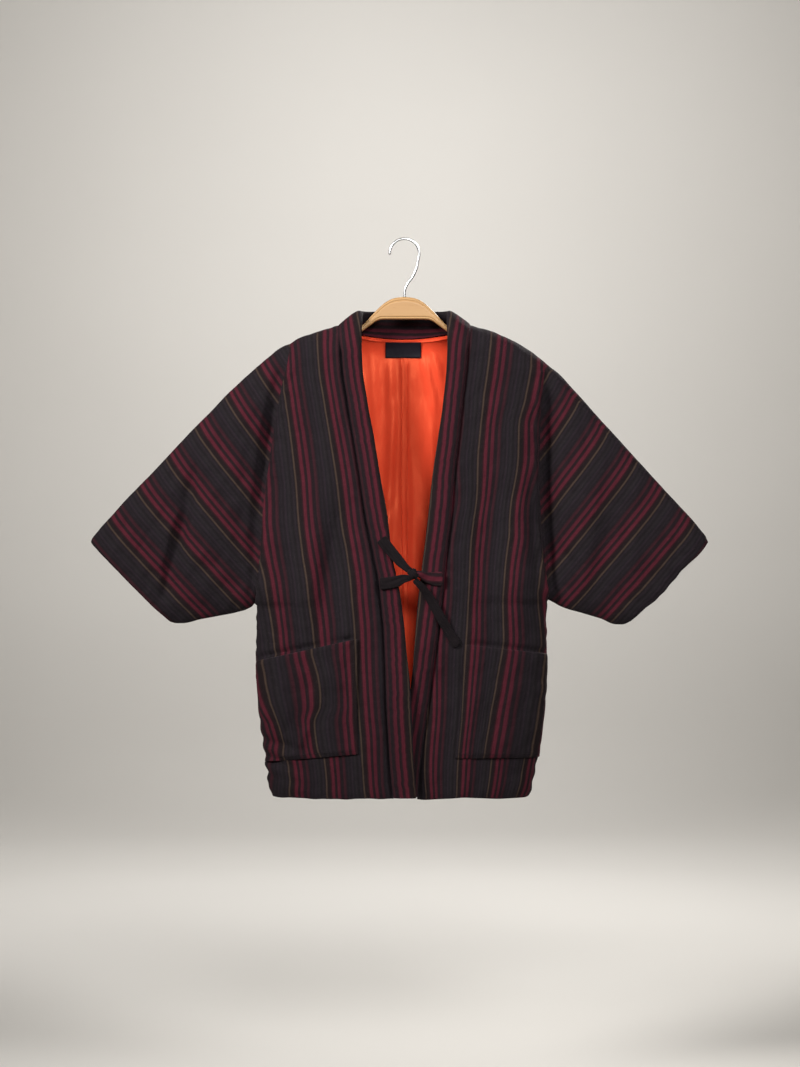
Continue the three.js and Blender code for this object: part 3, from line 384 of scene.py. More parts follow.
def body_grid(side):
    underarm = UNDERARM_Z[side]
    tip = BODY_SIDE[side][-1][0]
    neck_x, neck_top = COLLAR_SEAM[side][-1][1], COLLAR_SEAM[side][-1][0]
    skirt = mix(HEM_Z, underarm, row_places[:UNDERARM_ROW] / SKIRT_ROWS)
    heights = np.concatenate([skirt, mix(underarm, tip, armhole_ups)])
    parts = (heights - HEM_Z) / (tip - HEM_Z)
    rows = []
    for z, part in zip(heights, parts):
        inner_z = mix(HEM_Z, neck_top, part)
        row = grid_row(side_x[side](z), z, seam_x[side](inner_z), inner_z, part)
        rows.append(front_point(side, *row))
    neck_row = int(np.argmin(abs(row_places - (CAD_TOP - NECK_ROWS))))
    centre_z = neck_z(0, NECK_BACK_Y)
    for row in range(TOP_ROW - 1, -1, -1):
        down = CAD_TOP - row_places[row]
        if down <= NECK_ROWS:
            turn = math.pi / 2 * down / NECK_ROWS
            inner_x = neck_x * math.cos(turn)
            inner_z = neck_z(inner_x, NECK_BACK_Y * math.sin(turn))
        else:
            inner_x = 0.0
            inner_z = mix(HEM_Z, centre_z, parts[row] / parts[neck_row])
        z = heights[row]
        rows.append(back_point(*grid_row(side_x[side](z), z, inner_x, inner_z, parts[row])))
    return np.array(rows)


def edge_path(rows):
    """Point at a part of the length of an edge's table."""
    points = np.array(rows, float)
    run = run_along(points)
    x_at, z_at = table_curve(list(zip(run, points[:, 0]))), table_curve(list(zip(run, points[:, 1])))
    return lambda t: (x_at(t * run[-1]), z_at(t * run[-1]))


def sleeve_grid(side, body):
    """Rings from the armhole to the cuff; each runs from the underarm up the front and down the back."""
    half = TOP_ROW - UNDERARM_ROW
    start = body[UNDERARM_ROW:UNDERARM_ROW + 2 * half, 0]
    ups = np.concatenate([armhole_ups, armhole_ups[-2:0:-1]])
    on_front = np.arange(2 * half) <= half
    top_at, bottom_at = edge_path(SLEEVE_TOP[side]), edge_path(SLEEVE_BOTTOM[side])
    rings = [start]
    for s in finer([9] + [8] * 11)[1:] / 12:
        (tx, tz), (bx, bz) = top_at(s), bottom_at(s)
        keep = 1 - smooth(s / 0.3)
        x = mix(bx, tx, ups) + keep * (start[:, 0] - mix(start[0, 0], start[half, 0], ups))
        z = mix(bz, tz, ups)
        flat = np.abs(2 * ups - 1)
        bulge = mix(SLEEVE_DEPTH, CUFF_DEPTH, s) * np.maximum(0, 1 - flat ** 2.6) ** (1 / 2.6)
        plain = mix(bulge, np.abs(start[:, 1]), keep)
        fold = folds_round(FOLDS, on_front, x, z)
        y = plain + fold * (1 - keep) * np.clip(plain / FOLD_DEPTH, 0, 1)
        rings.append(np.stack([x, np.where(on_front, -y, y), z], -1))
    return np.array(rings)


def grid_normals(points, ring=False):
    if ring:
        points = np.concatenate([points[:, -1:], points, points[:, :1]], 1)
    normals = np.cross(np.gradient(points, axis=1), np.gradient(points, axis=0))
    return unit(normals[:, 1:-1] if ring else normals)


class Cloth:
    """A padded cloth piece: outer points, normals that point out, and the wall's depth at each point."""

    def __init__(self, points, ring=False, wall=WALL, turn=1):
        self.points = points
        self.normals = grid_normals(points, ring) * turn
        self.depth = np.full(points.shape[:2], float(wall))

    def run(self, axis):
        """Distance along the rows or columns."""
        steps = np.linalg.norm(np.diff(self.points, axis=axis), axis=-1)
        lead = np.zeros_like(steps[:1] if axis == 0 else steps[:, :1])
        return np.cumsum(np.concatenate([lead, steps], axis), axis)


def weld(places):
    """Points that pieces share at a seam get one normal and one mitred wall."""
    total = unit(sum(piece.normals[i, j] for piece, i, j in places))
    facing = sum(piece.normals[i, j] @ total for piece, i, j in places) / len(places)
    for piece, i, j in places:
        piece.normals[i, j] = total
        piece.depth[i, j] = WALL / max(0.68, facing)


bodies = {}
sleeves = {}
for side in SIDES:
    grid = body_grid(side)
    bodies[side] = Cloth(grid, turn=-SIGN[side])
    sleeves[side] = Cloth(sleeve_grid(side, grid), ring=True, turn=-SIGN[side])
    half = TOP_ROW - UNDERARM_ROW
    for i in range(UNDERARM_ROW):
        weld([(bodies[side], i, 0), (bodies[side], LAST_ROW - i, 0)])
    for j in range(1, 2 * half):
        weld([(bodies[side], UNDERARM_ROW + j, 0), (sleeves[side], 0, j)])
    weld([(bodies[side], UNDERARM_ROW, 0), (bodies[side], LAST_ROW - UNDERARM_ROW, 0),
          (sleeves[side], 0, 0)])
NECK_END = int(np.argmin(abs((2 * CAD_TOP - row_places[::-1]) - (CAD_TOP + NECK_ROWS)))) + TOP_ROW
for i in range(NECK_END, LAST_ROW + 1):
    weld([(bodies["right"], i, -1), (bodies["left"], i, -1)])


# Meshes; faces that meet at more than these angles in degrees keep a sharp edge between them
WALL_EDGE = 62
ROUND_EDGE = 70


def make_object(name, points, faces, uvs=None, groups=None, materials=(), sharp=None):
    """Mesh object from points in millimetres; uvs are one for each face corner."""
    mesh = bpy.data.meshes.new(name)
    mesh.from_pydata((np.asarray(points) * 0.001).tolist(), [], [list(map(int, f)) for f in faces])
    mesh.polygons.foreach_set("use_smooth", [True] * len(mesh.polygons))
    if groups is not None:
        mesh.polygons.foreach_set("material_index", [int(g) for g in groups])
    if uvs is not None:
        layer = mesh.uv_layers.new(name="cloth")
        layer.data.foreach_set("uv", (np.asarray(uvs, float) * 0.001).ravel())
    for material in materials:
        mesh.materials.append(material)
    if sharp:
        mesh.set_sharp_from_angle(angle=math.radians(sharp))
    mesh.update()
    made = bpy.data.objects.new(name, mesh)
    bpy.context.scene.collection.objects.link(made)
    return made


def signed_volume(points, faces):
    quads = np.array([f if len(f) == 4 else (*f, f[0]) for f in faces])
    a, b, c, d = (points[quads[:, k]] for k in range(4))
    return float(np.sum(np.cross(a, b) * c) + np.sum(np.cross(a, c) * d))


def closed_object(name, points, faces, corners, groups, materials, sharp):
    """Closed mesh with its faces turned outwards; corners hold the texture places of each face."""
    points = np.concatenate(points)
    if signed_volume(points, faces) < 0:
        faces, corners = [f[::-1] for f in faces], [c[::-1] for c in corners]
    uvs = np.array([place for corner in corners for place in corner])
    return make_object(name, points, faces, uvs, groups, materials, sharp)


def wall_object(name, outer, inner, uv, materials, ring=False, edges=0.0, ends=(0.0, 0.0), steps=3):
    """Closed cloth wall between outer and inner points, each (rows, columns, 3).

    uv is (rows, columns, 2), with one more column on a ring. edges and ends are how far the side edges
    and the first and last rows bulge; a bulge of 0 is a plain seam edge."""
    rows, cols = outer.shape[:2]
    count = rows * cols
    points = [outer.reshape(-1, 3), inner.reshape(-1, 3)]
    faces, corners, groups = [], [], []
    span = cols if ring else cols - 1
    for i in range(rows - 1):
        for j in range(span):
            k = (j + 1) % cols
            quad = (i * cols + j, i * cols + k, (i + 1) * cols + k, (i + 1) * cols + j)
            texture = (uv[i, j], uv[i, j + 1], uv[i + 1, j + 1], uv[i + 1, j])
            faces += [quad, tuple(count + n for n in quad[::-1])]
            corners += [texture, texture[::-1]]
            groups += [0, 1]
    if ring:
        loops = [([(0, j) for j in range(cols)], 0, 1), ([(rows - 1, j) for j in range(cols)], 1, -1)]
    else:
        around = [(0, j) for j in range(cols)] + [(i, cols - 1) for i in range(1, rows)]
        around += [(rows - 1, j) for j in range(cols - 2, -1, -1)]
        around += [(i, 0) for i in range(rows - 2, 0, -1)]
        loops = [(around, None, 1)]
    total = 2 * count
    for loop, end, turn in loops:
        at = np.array(loop)
        out_edge, in_edge = outer[at[:, 0], at[:, 1]], inner[at[:, 0], at[:, 1]]
        push = np.zeros((len(loop), 3))
        amount = np.zeros(len(loop))
        for n, (i, j) in enumerate(loop):
            if i in (0, rows - 1):
                push[n] += unit(outer[i, j] - outer[1 if i == 0 else rows - 2, j])
                amount[n] = ends[0 if i == 0 else 1]
            if not ring and j in (0, cols - 1) and edges:
                push[n] += unit(outer[i, j] - outer[i, 1 if j == 0 else cols - 2])
                amount[n] = max(amount[n], edges)
        push = unit(push) * amount[:, None]
        bands = [np.array([i * cols + j for i, j in loop])]
        for s in range(1, steps + 1):
            t = s / (steps + 1)
            round_off = mix(out_edge, in_edge, 0.5 - 0.5 * math.cos(math.pi * t))
            points.append(round_off + push * math.sin(math.pi * t))
            bands.append(np.arange(total, total + len(loop)))
            total += len(loop)
        bands.append(bands[0] + count)
        for s in range(len(bands) - 1):
            for n in range(len(loop)):
                m = (n + 1) % len(loop)
                quad = (bands[s][m], bands[s][n], bands[s + 1][n], bands[s + 1][m])
                (i, j), (k, l) = loop[n], loop[m]
                if ring and m == 0:
                    l = cols
                texture = (uv[k, l], uv[i, j], uv[i, j], uv[k, l])
                faces.append(quad if turn > 0 else quad[::-1])
                corners.append(texture if turn > 0 else texture[::-1])
                groups.append(0 if s < len(bands) / 2 else 1)
    return closed_object(name, points, faces, corners, groups, materials, WALL_EDGE)


def loft_object(name, sections, material, uv=None, sharp=None):
    """Closed skin over rows of sections of equal counts of points, with a fan to the middle of each end.
    """
    sections = np.asarray(sections)
    rows, cols = sections.shape[:2]
    if uv is None:
        uv = np.zeros((rows, cols + 1, 2))
    points = [sections.reshape(-1, 3)]
    faces, corners = [], []
    for i in range(rows - 1):
        for j in range(cols):
            k = (j + 1) % cols
            faces.append((i * cols + j, i * cols + k, (i + 1) * cols + k, (i + 1) * cols + j))
            corners.append((uv[i, j], uv[i, j + 1], uv[i + 1, j + 1], uv[i + 1, j]))
    for end, start in ((0, 0), (1, (rows - 1) * cols)):
        row = rows - 1 if end else 0
        points.append(sections[row].mean(0)[None])
        centre = rows * cols + end
        for j in range(cols):
            k = (j + 1) % cols
            middle = (uv[row, j] + uv[row, j + 1]) / 2
            face, corner = (centre, start + j, start + k), (middle, uv[row, j], uv[row, j + 1])
            faces.append(face if end else (face[0], *face[:0:-1]))
            corners.append(corner if end else (corner[0], *corner[:0:-1]))
    return closed_object(name, points, faces, corners, None, [material], sharp)


# Materials
def link(tree, start, end):
    tree.links.new(start, end)


def group_tree(name, inputs, outputs):
    tree = bpy.data.node_groups.new(name, "ShaderNodeTree")
    for label, kind, value in inputs:
        socket = tree.interface.new_socket(label, in_out="INPUT", socket_type=kind)
        if value is not None:
            socket.default_value = value
    for label, kind in outputs:
        tree.interface.new_socket(label, in_out="OUTPUT", socket_type=kind)
    return tree, tree.nodes.new("NodeGroupInput"), tree.nodes.new("NodeGroupOutput")


def math_node(tree, operation, *values, clamp=False):
    node = tree.nodes.new("ShaderNodeMath")
    node.operation = operation
    node.use_clamp = clamp
    for slot, value in zip(node.inputs, values):
        if isinstance(value, (int, float)):
            slot.default_value = value
        else:
            link(tree, value, slot)
    return node.outputs[0]


def noise_node(tree, vector, scale, detail=2.0, roughness=0.5):
    node = tree.nodes.new("ShaderNodeTexNoise")
    node.inputs["Scale"].default_value = scale
    node.inputs["Detail"].default_value = detail
    node.inputs["Roughness"].default_value = roughness
    link(tree, vector, node.inputs["Vector"])
    return node.outputs["Fac"]


def stretched(tree, vector, scale):
    node = tree.nodes.new("ShaderNodeMapping")
    node.inputs["Scale"].default_value = scale
    link(tree, vector, node.inputs["Vector"])
    return node.outputs["Vector"]


def ramp_node(tree, value, stops, interpolation="LINEAR"):
    node = tree.nodes.new("ShaderNodeValToRGB")
    node.color_ramp.interpolation = interpolation
    elements = node.color_ramp.elements
    elements[0].position, elements[0].color = stops[0][0], (*linear(stops[0][1]), 1)
    elements[1].position, elements[1].color = stops[-1][0], (*linear(stops[-1][1]), 1)
    for place, colour in stops[1:-1]:
        elements.new(place).color = (*linear(colour), 1)
    link(tree, value, node.inputs["Fac"])
    return node.outputs["Color"]


def linear(colour):
    """Linear light from a colour written 0 to 255."""
    return tuple(((c / 255 + 0.055) / 1.055) ** 2.4 if c > 10.3 else c / 255 / 12.92 for c in colour)


def mix_colour(tree, factor, first, second):
    node = tree.nodes.new("ShaderNodeMix")
    node.data_type = "RGBA"
    for slot, value in ((node.inputs[0], factor), (node.inputs[6], first), (node.inputs[7], second)):
        if isinstance(value, (int, float)):
            slot.default_value = value
        elif isinstance(value, tuple):
            slot.default_value = (*linear(value), 1)
        else:
            link(tree, value, slot)
    return node.outputs[2]


def woven_threads():
    """Plain weave: height of the threads and a shade that varies from thread to thread."""
    inputs = [("Vector", "NodeSocketVector", None), ("Pitch", "NodeSocketFloat", 0.0011),
              ("Slub", "NodeSocketFloat", 0.5)]
    outputs = [("Shade", "NodeSocketFloat"), ("Height", "NodeSocketFloat")]
    tree, into, out = group_tree("woven threads", inputs, outputs)
    split = tree.nodes.new("ShaderNodeSeparateXYZ")
    link(tree, into.outputs["Vector"], split.inputs[0])
    turns = math_node(tree, "DIVIDE", math.pi, into.outputs["Pitch"])
    warp = math_node(tree, "SINE", math_node(tree, "MULTIPLY", split.outputs["X"], turns))
    weft = math_node(tree, "SINE", math_node(tree, "MULTIPLY", split.outputs["Y"], turns))
    over = math_node(tree, "MULTIPLY", warp, weft)
    raised = math_node(tree, "ABSOLUTE", over)
    long_slub = noise_node(tree, stretched(tree, into.outputs["Vector"], (1500, 40, 1)), 1.0, 1.5)
    cross_slub = noise_node(tree, stretched(tree, into.outputs["Vector"], (45, 1300, 1)), 1.0, 1.5)
    slub = math_node(tree, "SUBTRACT", math_node(tree, "ADD", long_slub, cross_slub), 1.0)
    slub = math_node(tree, "MULTIPLY", slub, into.outputs["Slub"])
    link(tree, math_node(tree, "ADD", slub, 0.5, clamp=True), out.inputs["Shade"])
    height = math_node(tree, "ADD", math_node(tree, "MULTIPLY", raised, 0.7), slub)
    link(tree, height, out.inputs["Height"])
    return tree


FLAT_POINTINESS = 0.51


def rubbed_edges():
    """Mask of raised edges, broken up by a fine noise."""
    inputs = [("Vector", "NodeSocketVector", None), ("Reach", "NodeSocketFloat", 6.0)]
    tree, into, out = group_tree("rubbed edges", inputs, [("Mask", "NodeSocketFloat")])
    point = tree.nodes.new("ShaderNodeNewGeometry").outputs["Pointiness"]
    over = math_node(tree, "SUBTRACT", point, FLAT_POINTINESS)
    raised = math_node(tree, "MULTIPLY", over, into.outputs["Reach"], clamp=True)
    patchy = noise_node(tree, into.outputs["Vector"], 120.0, 3.0)
    link(tree, math_node(tree, "MULTIPLY", raised, patchy, clamp=True), out.inputs["Mask"])
    return tree


THREADS = woven_threads()
EDGES = rubbed_edges()


def group_node(tree, group, **values):
    node = tree.nodes.new("ShaderNodeGroup")
    node.node_tree = group
    for name, value in values.items():
        if isinstance(value, (int, float)):
            node.inputs[name].default_value = value
        else:
            link(tree, value, node.inputs[name])
    return node.outputs


def new_material(name, constants):
    material = bpy.data.materials.new(name)
    material.use_nodes = True
    shader = material.node_tree.nodes["Principled BSDF"]
    for socket, value in constants.items():
        shader.inputs[socket].default_value = value
    return material, material.node_tree, shader


def cloth_map(tree):
    node = tree.nodes.new("ShaderNodeUVMap")
    node.uv_map = "cloth"
    return node.outputs["UV"]


def object_place(tree):
    return tree.nodes.new("ShaderNodeTexCoord").outputs["Object"]


def bump(tree, shader, height, strength, distance, over=None):
    node = tree.nodes.new("ShaderNodeBump")
    if over is not None:
        link(tree, over, node.inputs["Normal"])
    node.inputs["Strength"].default_value = strength
    node.inputs["Distance"].default_value = distance
    link(tree, height, node.inputs["Height"])
    link(tree, node.outputs["Normal"], shader.inputs["Normal"])
    return node.outputs["Normal"]


# One repeat of the stripes, from a tan line across to the next one
STRIPES = [
    (0, (53, 42, 35)), (0.012, (42, 32, 28)), (0.03, (20, 13, 14)), (0.1, (19, 12, 14)),
    (0.135, (34, 13, 18)), (0.158, (62, 19, 28)), (0.18, (56, 17, 26)), (0.202, (62, 18, 28)),
    (0.235, (26, 13, 17)), (0.28, (20, 12, 15)), (0.308, (58, 18, 27)), (0.33, (52, 16, 25)),
    (0.352, (56, 17, 26)), (0.39, (22, 12, 16)), (0.45, (19, 13, 16)), (0.485, (40, 16, 22)),
    (0.52, (34, 15, 20)), (0.565, (17, 14, 17)), (0.62, (23, 18, 22)), (0.66, (18, 14, 17)),
    (0.71, (27, 21, 26)), (0.75, (19, 16, 19)), (0.8, (25, 21, 24)), (0.86, (17, 14, 16)),
    (0.92, (25, 20, 24)), (0.965, (18, 14, 17)), (0.985, (42, 32, 28)), (1, (53, 42, 35)),
]


def striped_cotton():
    material, tree, shader = new_material("striped cotton", {
        "Roughness": 0.88, "Sheen Weight": 0.025, "Sheen Roughness": 0.5,
        "Sheen Tint": (*linear((190, 160, 172)), 1), "Specular IOR Level": 0.09
    })
    place = cloth_map(tree)
    split = tree.nodes.new("ShaderNodeSeparateXYZ")
    link(tree, place, split.inputs[0])
    drift = noise_node(tree, stretched(tree, place, (14, 5, 1)), 1.0, 2.0)
    shift = math_node(tree, "MULTIPLY", math_node(tree, "SUBTRACT", drift, 0.5), 0.0032)
    moved = math_node(tree, "ADD", split.outputs["X"], shift)
    turns = math_node(tree, "DIVIDE", moved, -STRIPE_REPEAT / 1000)
    part = math_node(tree, "FRACT", turns)
    stripes = ramp_node(tree, part, STRIPES)
    threads = group_node(tree, THREADS, Vector=place, Slub=0.75)
    tone = tree.nodes.new("ShaderNodeMapRange")
    tone.inputs["To Min"].default_value = 0.55
    tone.inputs["To Max"].default_value = 1.5
    heather = noise_node(tree, stretched(tree, place, (420, 110, 1)), 1.0, 3.0, 0.6)
    mottled = math_node(tree, "ADD", threads["Shade"], heather)
    link(tree, math_node(tree, "MULTIPLY", mottled, 0.5), tone.inputs["Value"])
    shaded = tree.nodes.new("ShaderNodeVectorMath")
    shaded.operation = "SCALE"
    link(tree, stripes, shaded.inputs[0])
    link(tree, tone.outputs[0], shaded.inputs["Scale"])
    worn = group_node(tree, EDGES, Vector=object_place(tree), Reach=9.0)
    rubbing = math_node(tree, "MULTIPLY", worn["Mask"], 0.18)
    rubbed = mix_colour(tree, rubbing, shaded.outputs[0], (48, 38, 42))
    link(tree, rubbed, shader.inputs["Base Color"])
    puckers = noise_node(tree, stretched(tree, place, (46, 30, 1)), 1.0, 3.0, 0.6)
    bump(tree, shader, threads["Height"], 0.35, 0.0005, over=bump(tree, shader, puckers, 0.6, 0.005))
    return material


def plain_cotton():
    material, tree, shader = new_material("dark cotton", {
        "Roughness": 0.84, "Sheen Weight": 0.02, "Sheen Roughness": 0.5, "Specular IOR Level": 0.08
    })
    place = cloth_map(tree)
    threads = group_node(tree, THREADS, Vector=place, Slub=0.8)
    mottled = noise_node(tree, place, 60.0, 3.0)
    base = mix_colour(tree, mottled, (15, 10, 12), (21, 15, 18))
    dyed = mix_colour(tree, threads["Shade"], (9, 6, 8), base)
    worn = group_node(tree, EDGES, Vector=object_place(tree), Reach=3.0)
    rubbed = math_node(tree, "MULTIPLY", worn["Mask"], 0.2)
    link(tree, mix_colour(tree, rubbed, dyed, (34, 28, 33)), shader.inputs["Base Color"])
    bump(tree, shader, threads["Height"], 0.4, 0.0005)
    return material


def orange_satin():
    material, tree, shader = new_material("orange satin", {
        "Roughness": 0.32, "Sheen Weight": 0.06, "Sheen Roughness": 0.3,
        "Sheen Tint": (*linear((255, 140, 90)), 1), "Specular IOR Level": 0.62,
        "Specular Tint": (*linear((255, 138, 92)), 1)
    })
    place = cloth_map(tree)
    threads = group_node(tree, THREADS, Vector=place, Pitch=0.0006, Slub=0.3)
    clouds = noise_node(tree, stretched(tree, place, (16, 6, 1)), 1.0, 2.0)
    base = mix_colour(tree, clouds, (204, 66, 40), (220, 86, 56))
    dyed = mix_colour(tree, threads["Shade"], (190, 50, 29), base)
    link(tree, dyed, shader.inputs["Base Color"])
    wrinkles = noise_node(tree, stretched(tree, place, (34, 12, 1)), 1.0, 2.0, 0.5)
    bump(tree, shader, threads["Height"], 0.15, 0.0003, over=bump(tree, shader, wrinkles, 0.5, 0.004))
    return material


def label_cloth():
    material, tree, shader = new_material("label cloth", {
        "Roughness": 0.6, "Specular IOR Level": 0.15
    })
    place = cloth_map(tree)
    threads = group_node(tree, THREADS, Vector=place, Pitch=0.0005, Slub=0.4)
    dyed = mix_colour(tree, threads["Shade"], (14, 12, 19), (23, 20, 30))
    link(tree, dyed, shader.inputs["Base Color"])
    bump(tree, shader, threads["Height"], 0.3, 0.0003)
    return material


def varnished_wood():
    material, tree, shader = new_material("varnished wood", {
        "Roughness": 0.5, "Specular IOR Level": 0.3, "Coat Weight": 0.15, "Coat Roughness": 0.3
    })
    place = object_place(tree)
    long_grain = noise_node(tree, stretched(tree, place, (9, 160, 210)), 1.0, 4.0, 0.6)
    rings = noise_node(tree, stretched(tree, place, (3, 46, 60)), 1.0, 2.0)
    pores = noise_node(tree, stretched(tree, place, (60, 900, 1100)), 1.0, 2.0)
    base = mix_colour(tree, rings, (147, 111, 69), (160, 127, 85))
    grained = mix_colour(tree, math_node(tree, "MULTIPLY", long_grain, 0.4), base, (133, 96, 57))
    pored = mix_colour(tree, math_node(tree, "GREATER_THAN", pores, 0.7), grained, (128, 92, 55))
    worn = group_node(tree, EDGES, Vector=place, Reach=10.0)
    link(tree, mix_colour(tree, worn["Mask"], pored, (191, 158, 110)), shader.inputs["Base Color"])
    bump(tree, shader, long_grain, 0.2, 0.0004)
    return material


def polished_steel():
    material, tree, shader = new_material("polished steel", {
        "Metallic": 1.0
    })
    place = object_place(tree)
    scuffs = noise_node(tree, place, 900.0, 3.0)
    dull = noise_node(tree, place, 70.0, 2.0)
    link(tree, mix_colour(tree, dull, (196, 198, 202), (224, 226, 228)), shader.inputs["Base Color"])
    rough = tree.nodes.new("ShaderNodeMapRange")
    rough.inputs["To Min"].default_value = 0.16
    rough.inputs["To Max"].default_value = 0.34
    link(tree, scuffs, rough.inputs["Value"])
    link(tree, rough.outputs[0], shader.inputs["Roughness"])
    bump(tree, shader, scuffs, 0.08, 0.0002)
    return material


def sewing_thread():
    material, tree, shader = new_material("sewing thread", {
        "Roughness": 0.8, "Specular IOR Level": 0.1
    })
    twist = noise_node(tree, object_place(tree), 1400.0, 2.0)
    link(tree, mix_colour(tree, twist, (18, 14, 16), (34, 28, 31)), shader.inputs["Base Color"])
    return material


def pale_paint():
    material, tree, shader = new_material("pale paint", {
        "Roughness": 0.95, "Specular IOR Level": 0.1
    })
    clouds = noise_node(tree, object_place(tree), 1.2, 2.0)
    link(tree, mix_colour(tree, clouds, (221, 218, 213), (226, 223, 218)), shader.inputs["Base Color"])
    return material


STRIPED, DARK, SATIN = striped_cotton(), plain_cotton(), orange_satin()
LABEL_CLOTH, WOOD, STEEL, THREAD = label_cloth(), varnished_wood(), polished_steel(), sewing_thread()

# (z, distance out from the collar's seam) of the first two tan lines down each front
FIRST_TAN = {
    "right": [
        (-883, 44.5), (-805, 42.6), (-750, 44.2), (-643, 46), (-485, 42.7), (-358, 37.2), (-259, 37.5),
        (-150, 38),
    ],
    "left": [
        (-883, 62), (-840, 60), (-760, 56), (-650, 47), (-525, 39.6), (-457, 36.7), (-413, 39),
        (-334, 34.2), (-267, 33.6), (-150, 38),
    ],
}
SECOND_TAN = {
    "right": [
        (-883, 104.6), (-851, 102), (-776, 107), (-677, 110), (-538, 113), (-371, 102), (-192, 98),
        (-150, 103),
    ],
    "left": [
        (-883, 110), (-840, 112), (-760, 110), (-651, 107.4), (-559, 96.4), (-480, 95.7), (-435, 93),
        (-357, 98.8), (-296, 94), (-256, 100), (-150, 105),
    ],
}
# Same, for the second and third tan lines on the pockets
POCKET_TAN = {
    "right": ([(-831, 106), (-798, 113), (-768, 114), (-743, 104.3), (-728, 103), (-660, 114)],
              [(-831, 166), (-805, 166.5), (-779, 169), (-732, 182), (-675, 191)]),
    "left": ([(-823, 98.6), (-763, 99.2), (-716, 101.5), (-658, 104)],
             [(-825, 171.4), (-773, 173), (-728, 173), (-662, 170.7)]),
}
tan_lines = {side: [table_curve(FIRST_TAN[side]), table_curve(SECOND_TAN[side])] for side in FIRST_TAN}


def front_stripes(side, x, z, lines):
    """Place across the stripes; the tan lines, given as distances from the seam, are a repeat apart."""
    out = SIGN[side] * (x - seam_x[side](z))
    places = [line(z) for line in lines]
    count = (out - places[0]) / (places[1] - places[0])
    for n in range(2, len(places)):
        further = n - 1 + (out - places[n - 1]) / (places[n] - places[n - 1])
        count = np.where(out > places[n - 1], further, count)
    return count * STRIPE_REPEAT * -SIGN[side]


# Sleeves: where the first tan line meets the top edge, the way out along that edge, the repeat there,
# and how much each line leans towards the cuff as it runs down, at the first line and at the fifth one
SLEEVE_STRIPES = {
    "right": ((-285.6, -253.3), (-0.693, -0.721), 68.3, 0.17, 0.05),
    "left": ((277.3, -261), (0.693, -0.721), 66.9, 0.19, 0.09),
}


def sleeve_stripes(side, x, z):
    (x0, z0), (ox, oz), repeat, lean_first, lean_fifth = SLEEVE_STRIPES[side]
    out = (x - x0) * ox + (z - z0) * oz
    down = SIGN[side] * ((x - x0) * oz - (z - z0) * ox)
    lean = mix(lean_first, lean_fifth, np.clip(out / (4 * repeat), 0, 1.1))
    leaned = out - np.maximum(0, down) * lean - 4.5 * (1 - np.exp(-np.maximum(0, down) / 20))
    return leaned / repeat * STRIPE_REPEAT


# (part of the way up the armhole, depth) of the valley that the sleeve makes beside it, front and back
VALLEYS = {
    "right": {"front": [(0, 1), (0.1, 6), (0.35, 11), (0.6, 12), (0.8, 7), (0.93, 1.5), (1, 0)],
              "back": [(0, 1), (0.12, 6), (0.4, 10), (0.7, 8), (0.9, 2), (1, 0)]},
    "left": {"front": [(0, 2), (0.08, 10), (0.3, 18), (0.6, 18), (0.8, 13), (0.92, 4), (1, 0)],
             "back": [(0, 1), (0.12, 7), (0.4, 11), (0.7, 8), (0.9, 2), (1, 0)]},
}


def seam_dip(distance, depth, reach=5.0):
    return depth * close_to(distance, reach)


def seam_puckers(distance, along, seed, height, reach=15.0, size=19.0):
    ripple = soft_noise(seed, size)(along, distance * 0.5)
    return height * ripple * np.exp(-distance / reach) * (1 - np.exp(-distance / 3))


# (z, height) of the gathers across each side seam near the hem, with how far they reach into the front
GATHERS = {
    "right": [
        (-748, 1.2, 26), (-764, -1.6, 36), (-780, 2.8, 52), (-794, -3.8, 66), (-807, 3, 48),
        (-820, -4.4, 60), (-833, 2.6, 40), (-845, -3, 46), (-858, 1.2, 26),
    ],
    "left": [
        (-700, -1.2, 18), (-716, 1.4, 22), (-730, -1.6, 24), (-806, -1.4, 22), (-822, 1.5, 24),
        (-838, -1.2, 20),
    ],
}


# Pocket corners' heights beside the side seam and the collar; parts of the width run from the side seam
POCKETS = {
    "right": {"outer": (-674, -832), "inner": (-637, -817), "part": (0.79, 0.755)},
    "left": {"outer": (-662, -824), "inner": (-646, -824), "part": (0.745, 0.71)},
}
MOUTH_GROOVE = 4.6


def mouth_groove(side, z, part):
    """Depth of the groove in the front along the pocket's mouth."""
    pocket = POCKETS[side]
    over = z - mix(pocket["outer"][0], pocket["inner"][0], part / pocket["part"][0])
    along = smooth((part - 0.05) / 0.1) * smooth((pocket["part"][0] + 0.02 - part) / 0.04)
    return MOUTH_GROOVE * close_to(over - 2.5, 4) * along


def side_gathers(side, z, from_side, on_front):
    total = 0
    for height, rise, reach in GATHERS[side]:
        lean = 0.28 * from_side * (1 if side == "right" else 0.4)
        across = np.exp(-((z - height + lean) / (7.5 if rise > 0 else 5.5)) ** 2)
        across = across * np.exp(-(from_side / reach) ** 1.6) * (0.35 + 0.65 * smooth(from_side / 12))
        total = total + rise * across * np.where(on_front, 1, close_to(from_side, 20))
    return total


def kept_apart(outer, inner, normals):
    """The inner face moved in wherever a deep crease leaves the wall thinner than THIN_WALL."""
    thin = np.maximum(0, THIN_WALL - ((outer - inner) * normals).sum(-1))
    return inner - normals * thin[..., None]


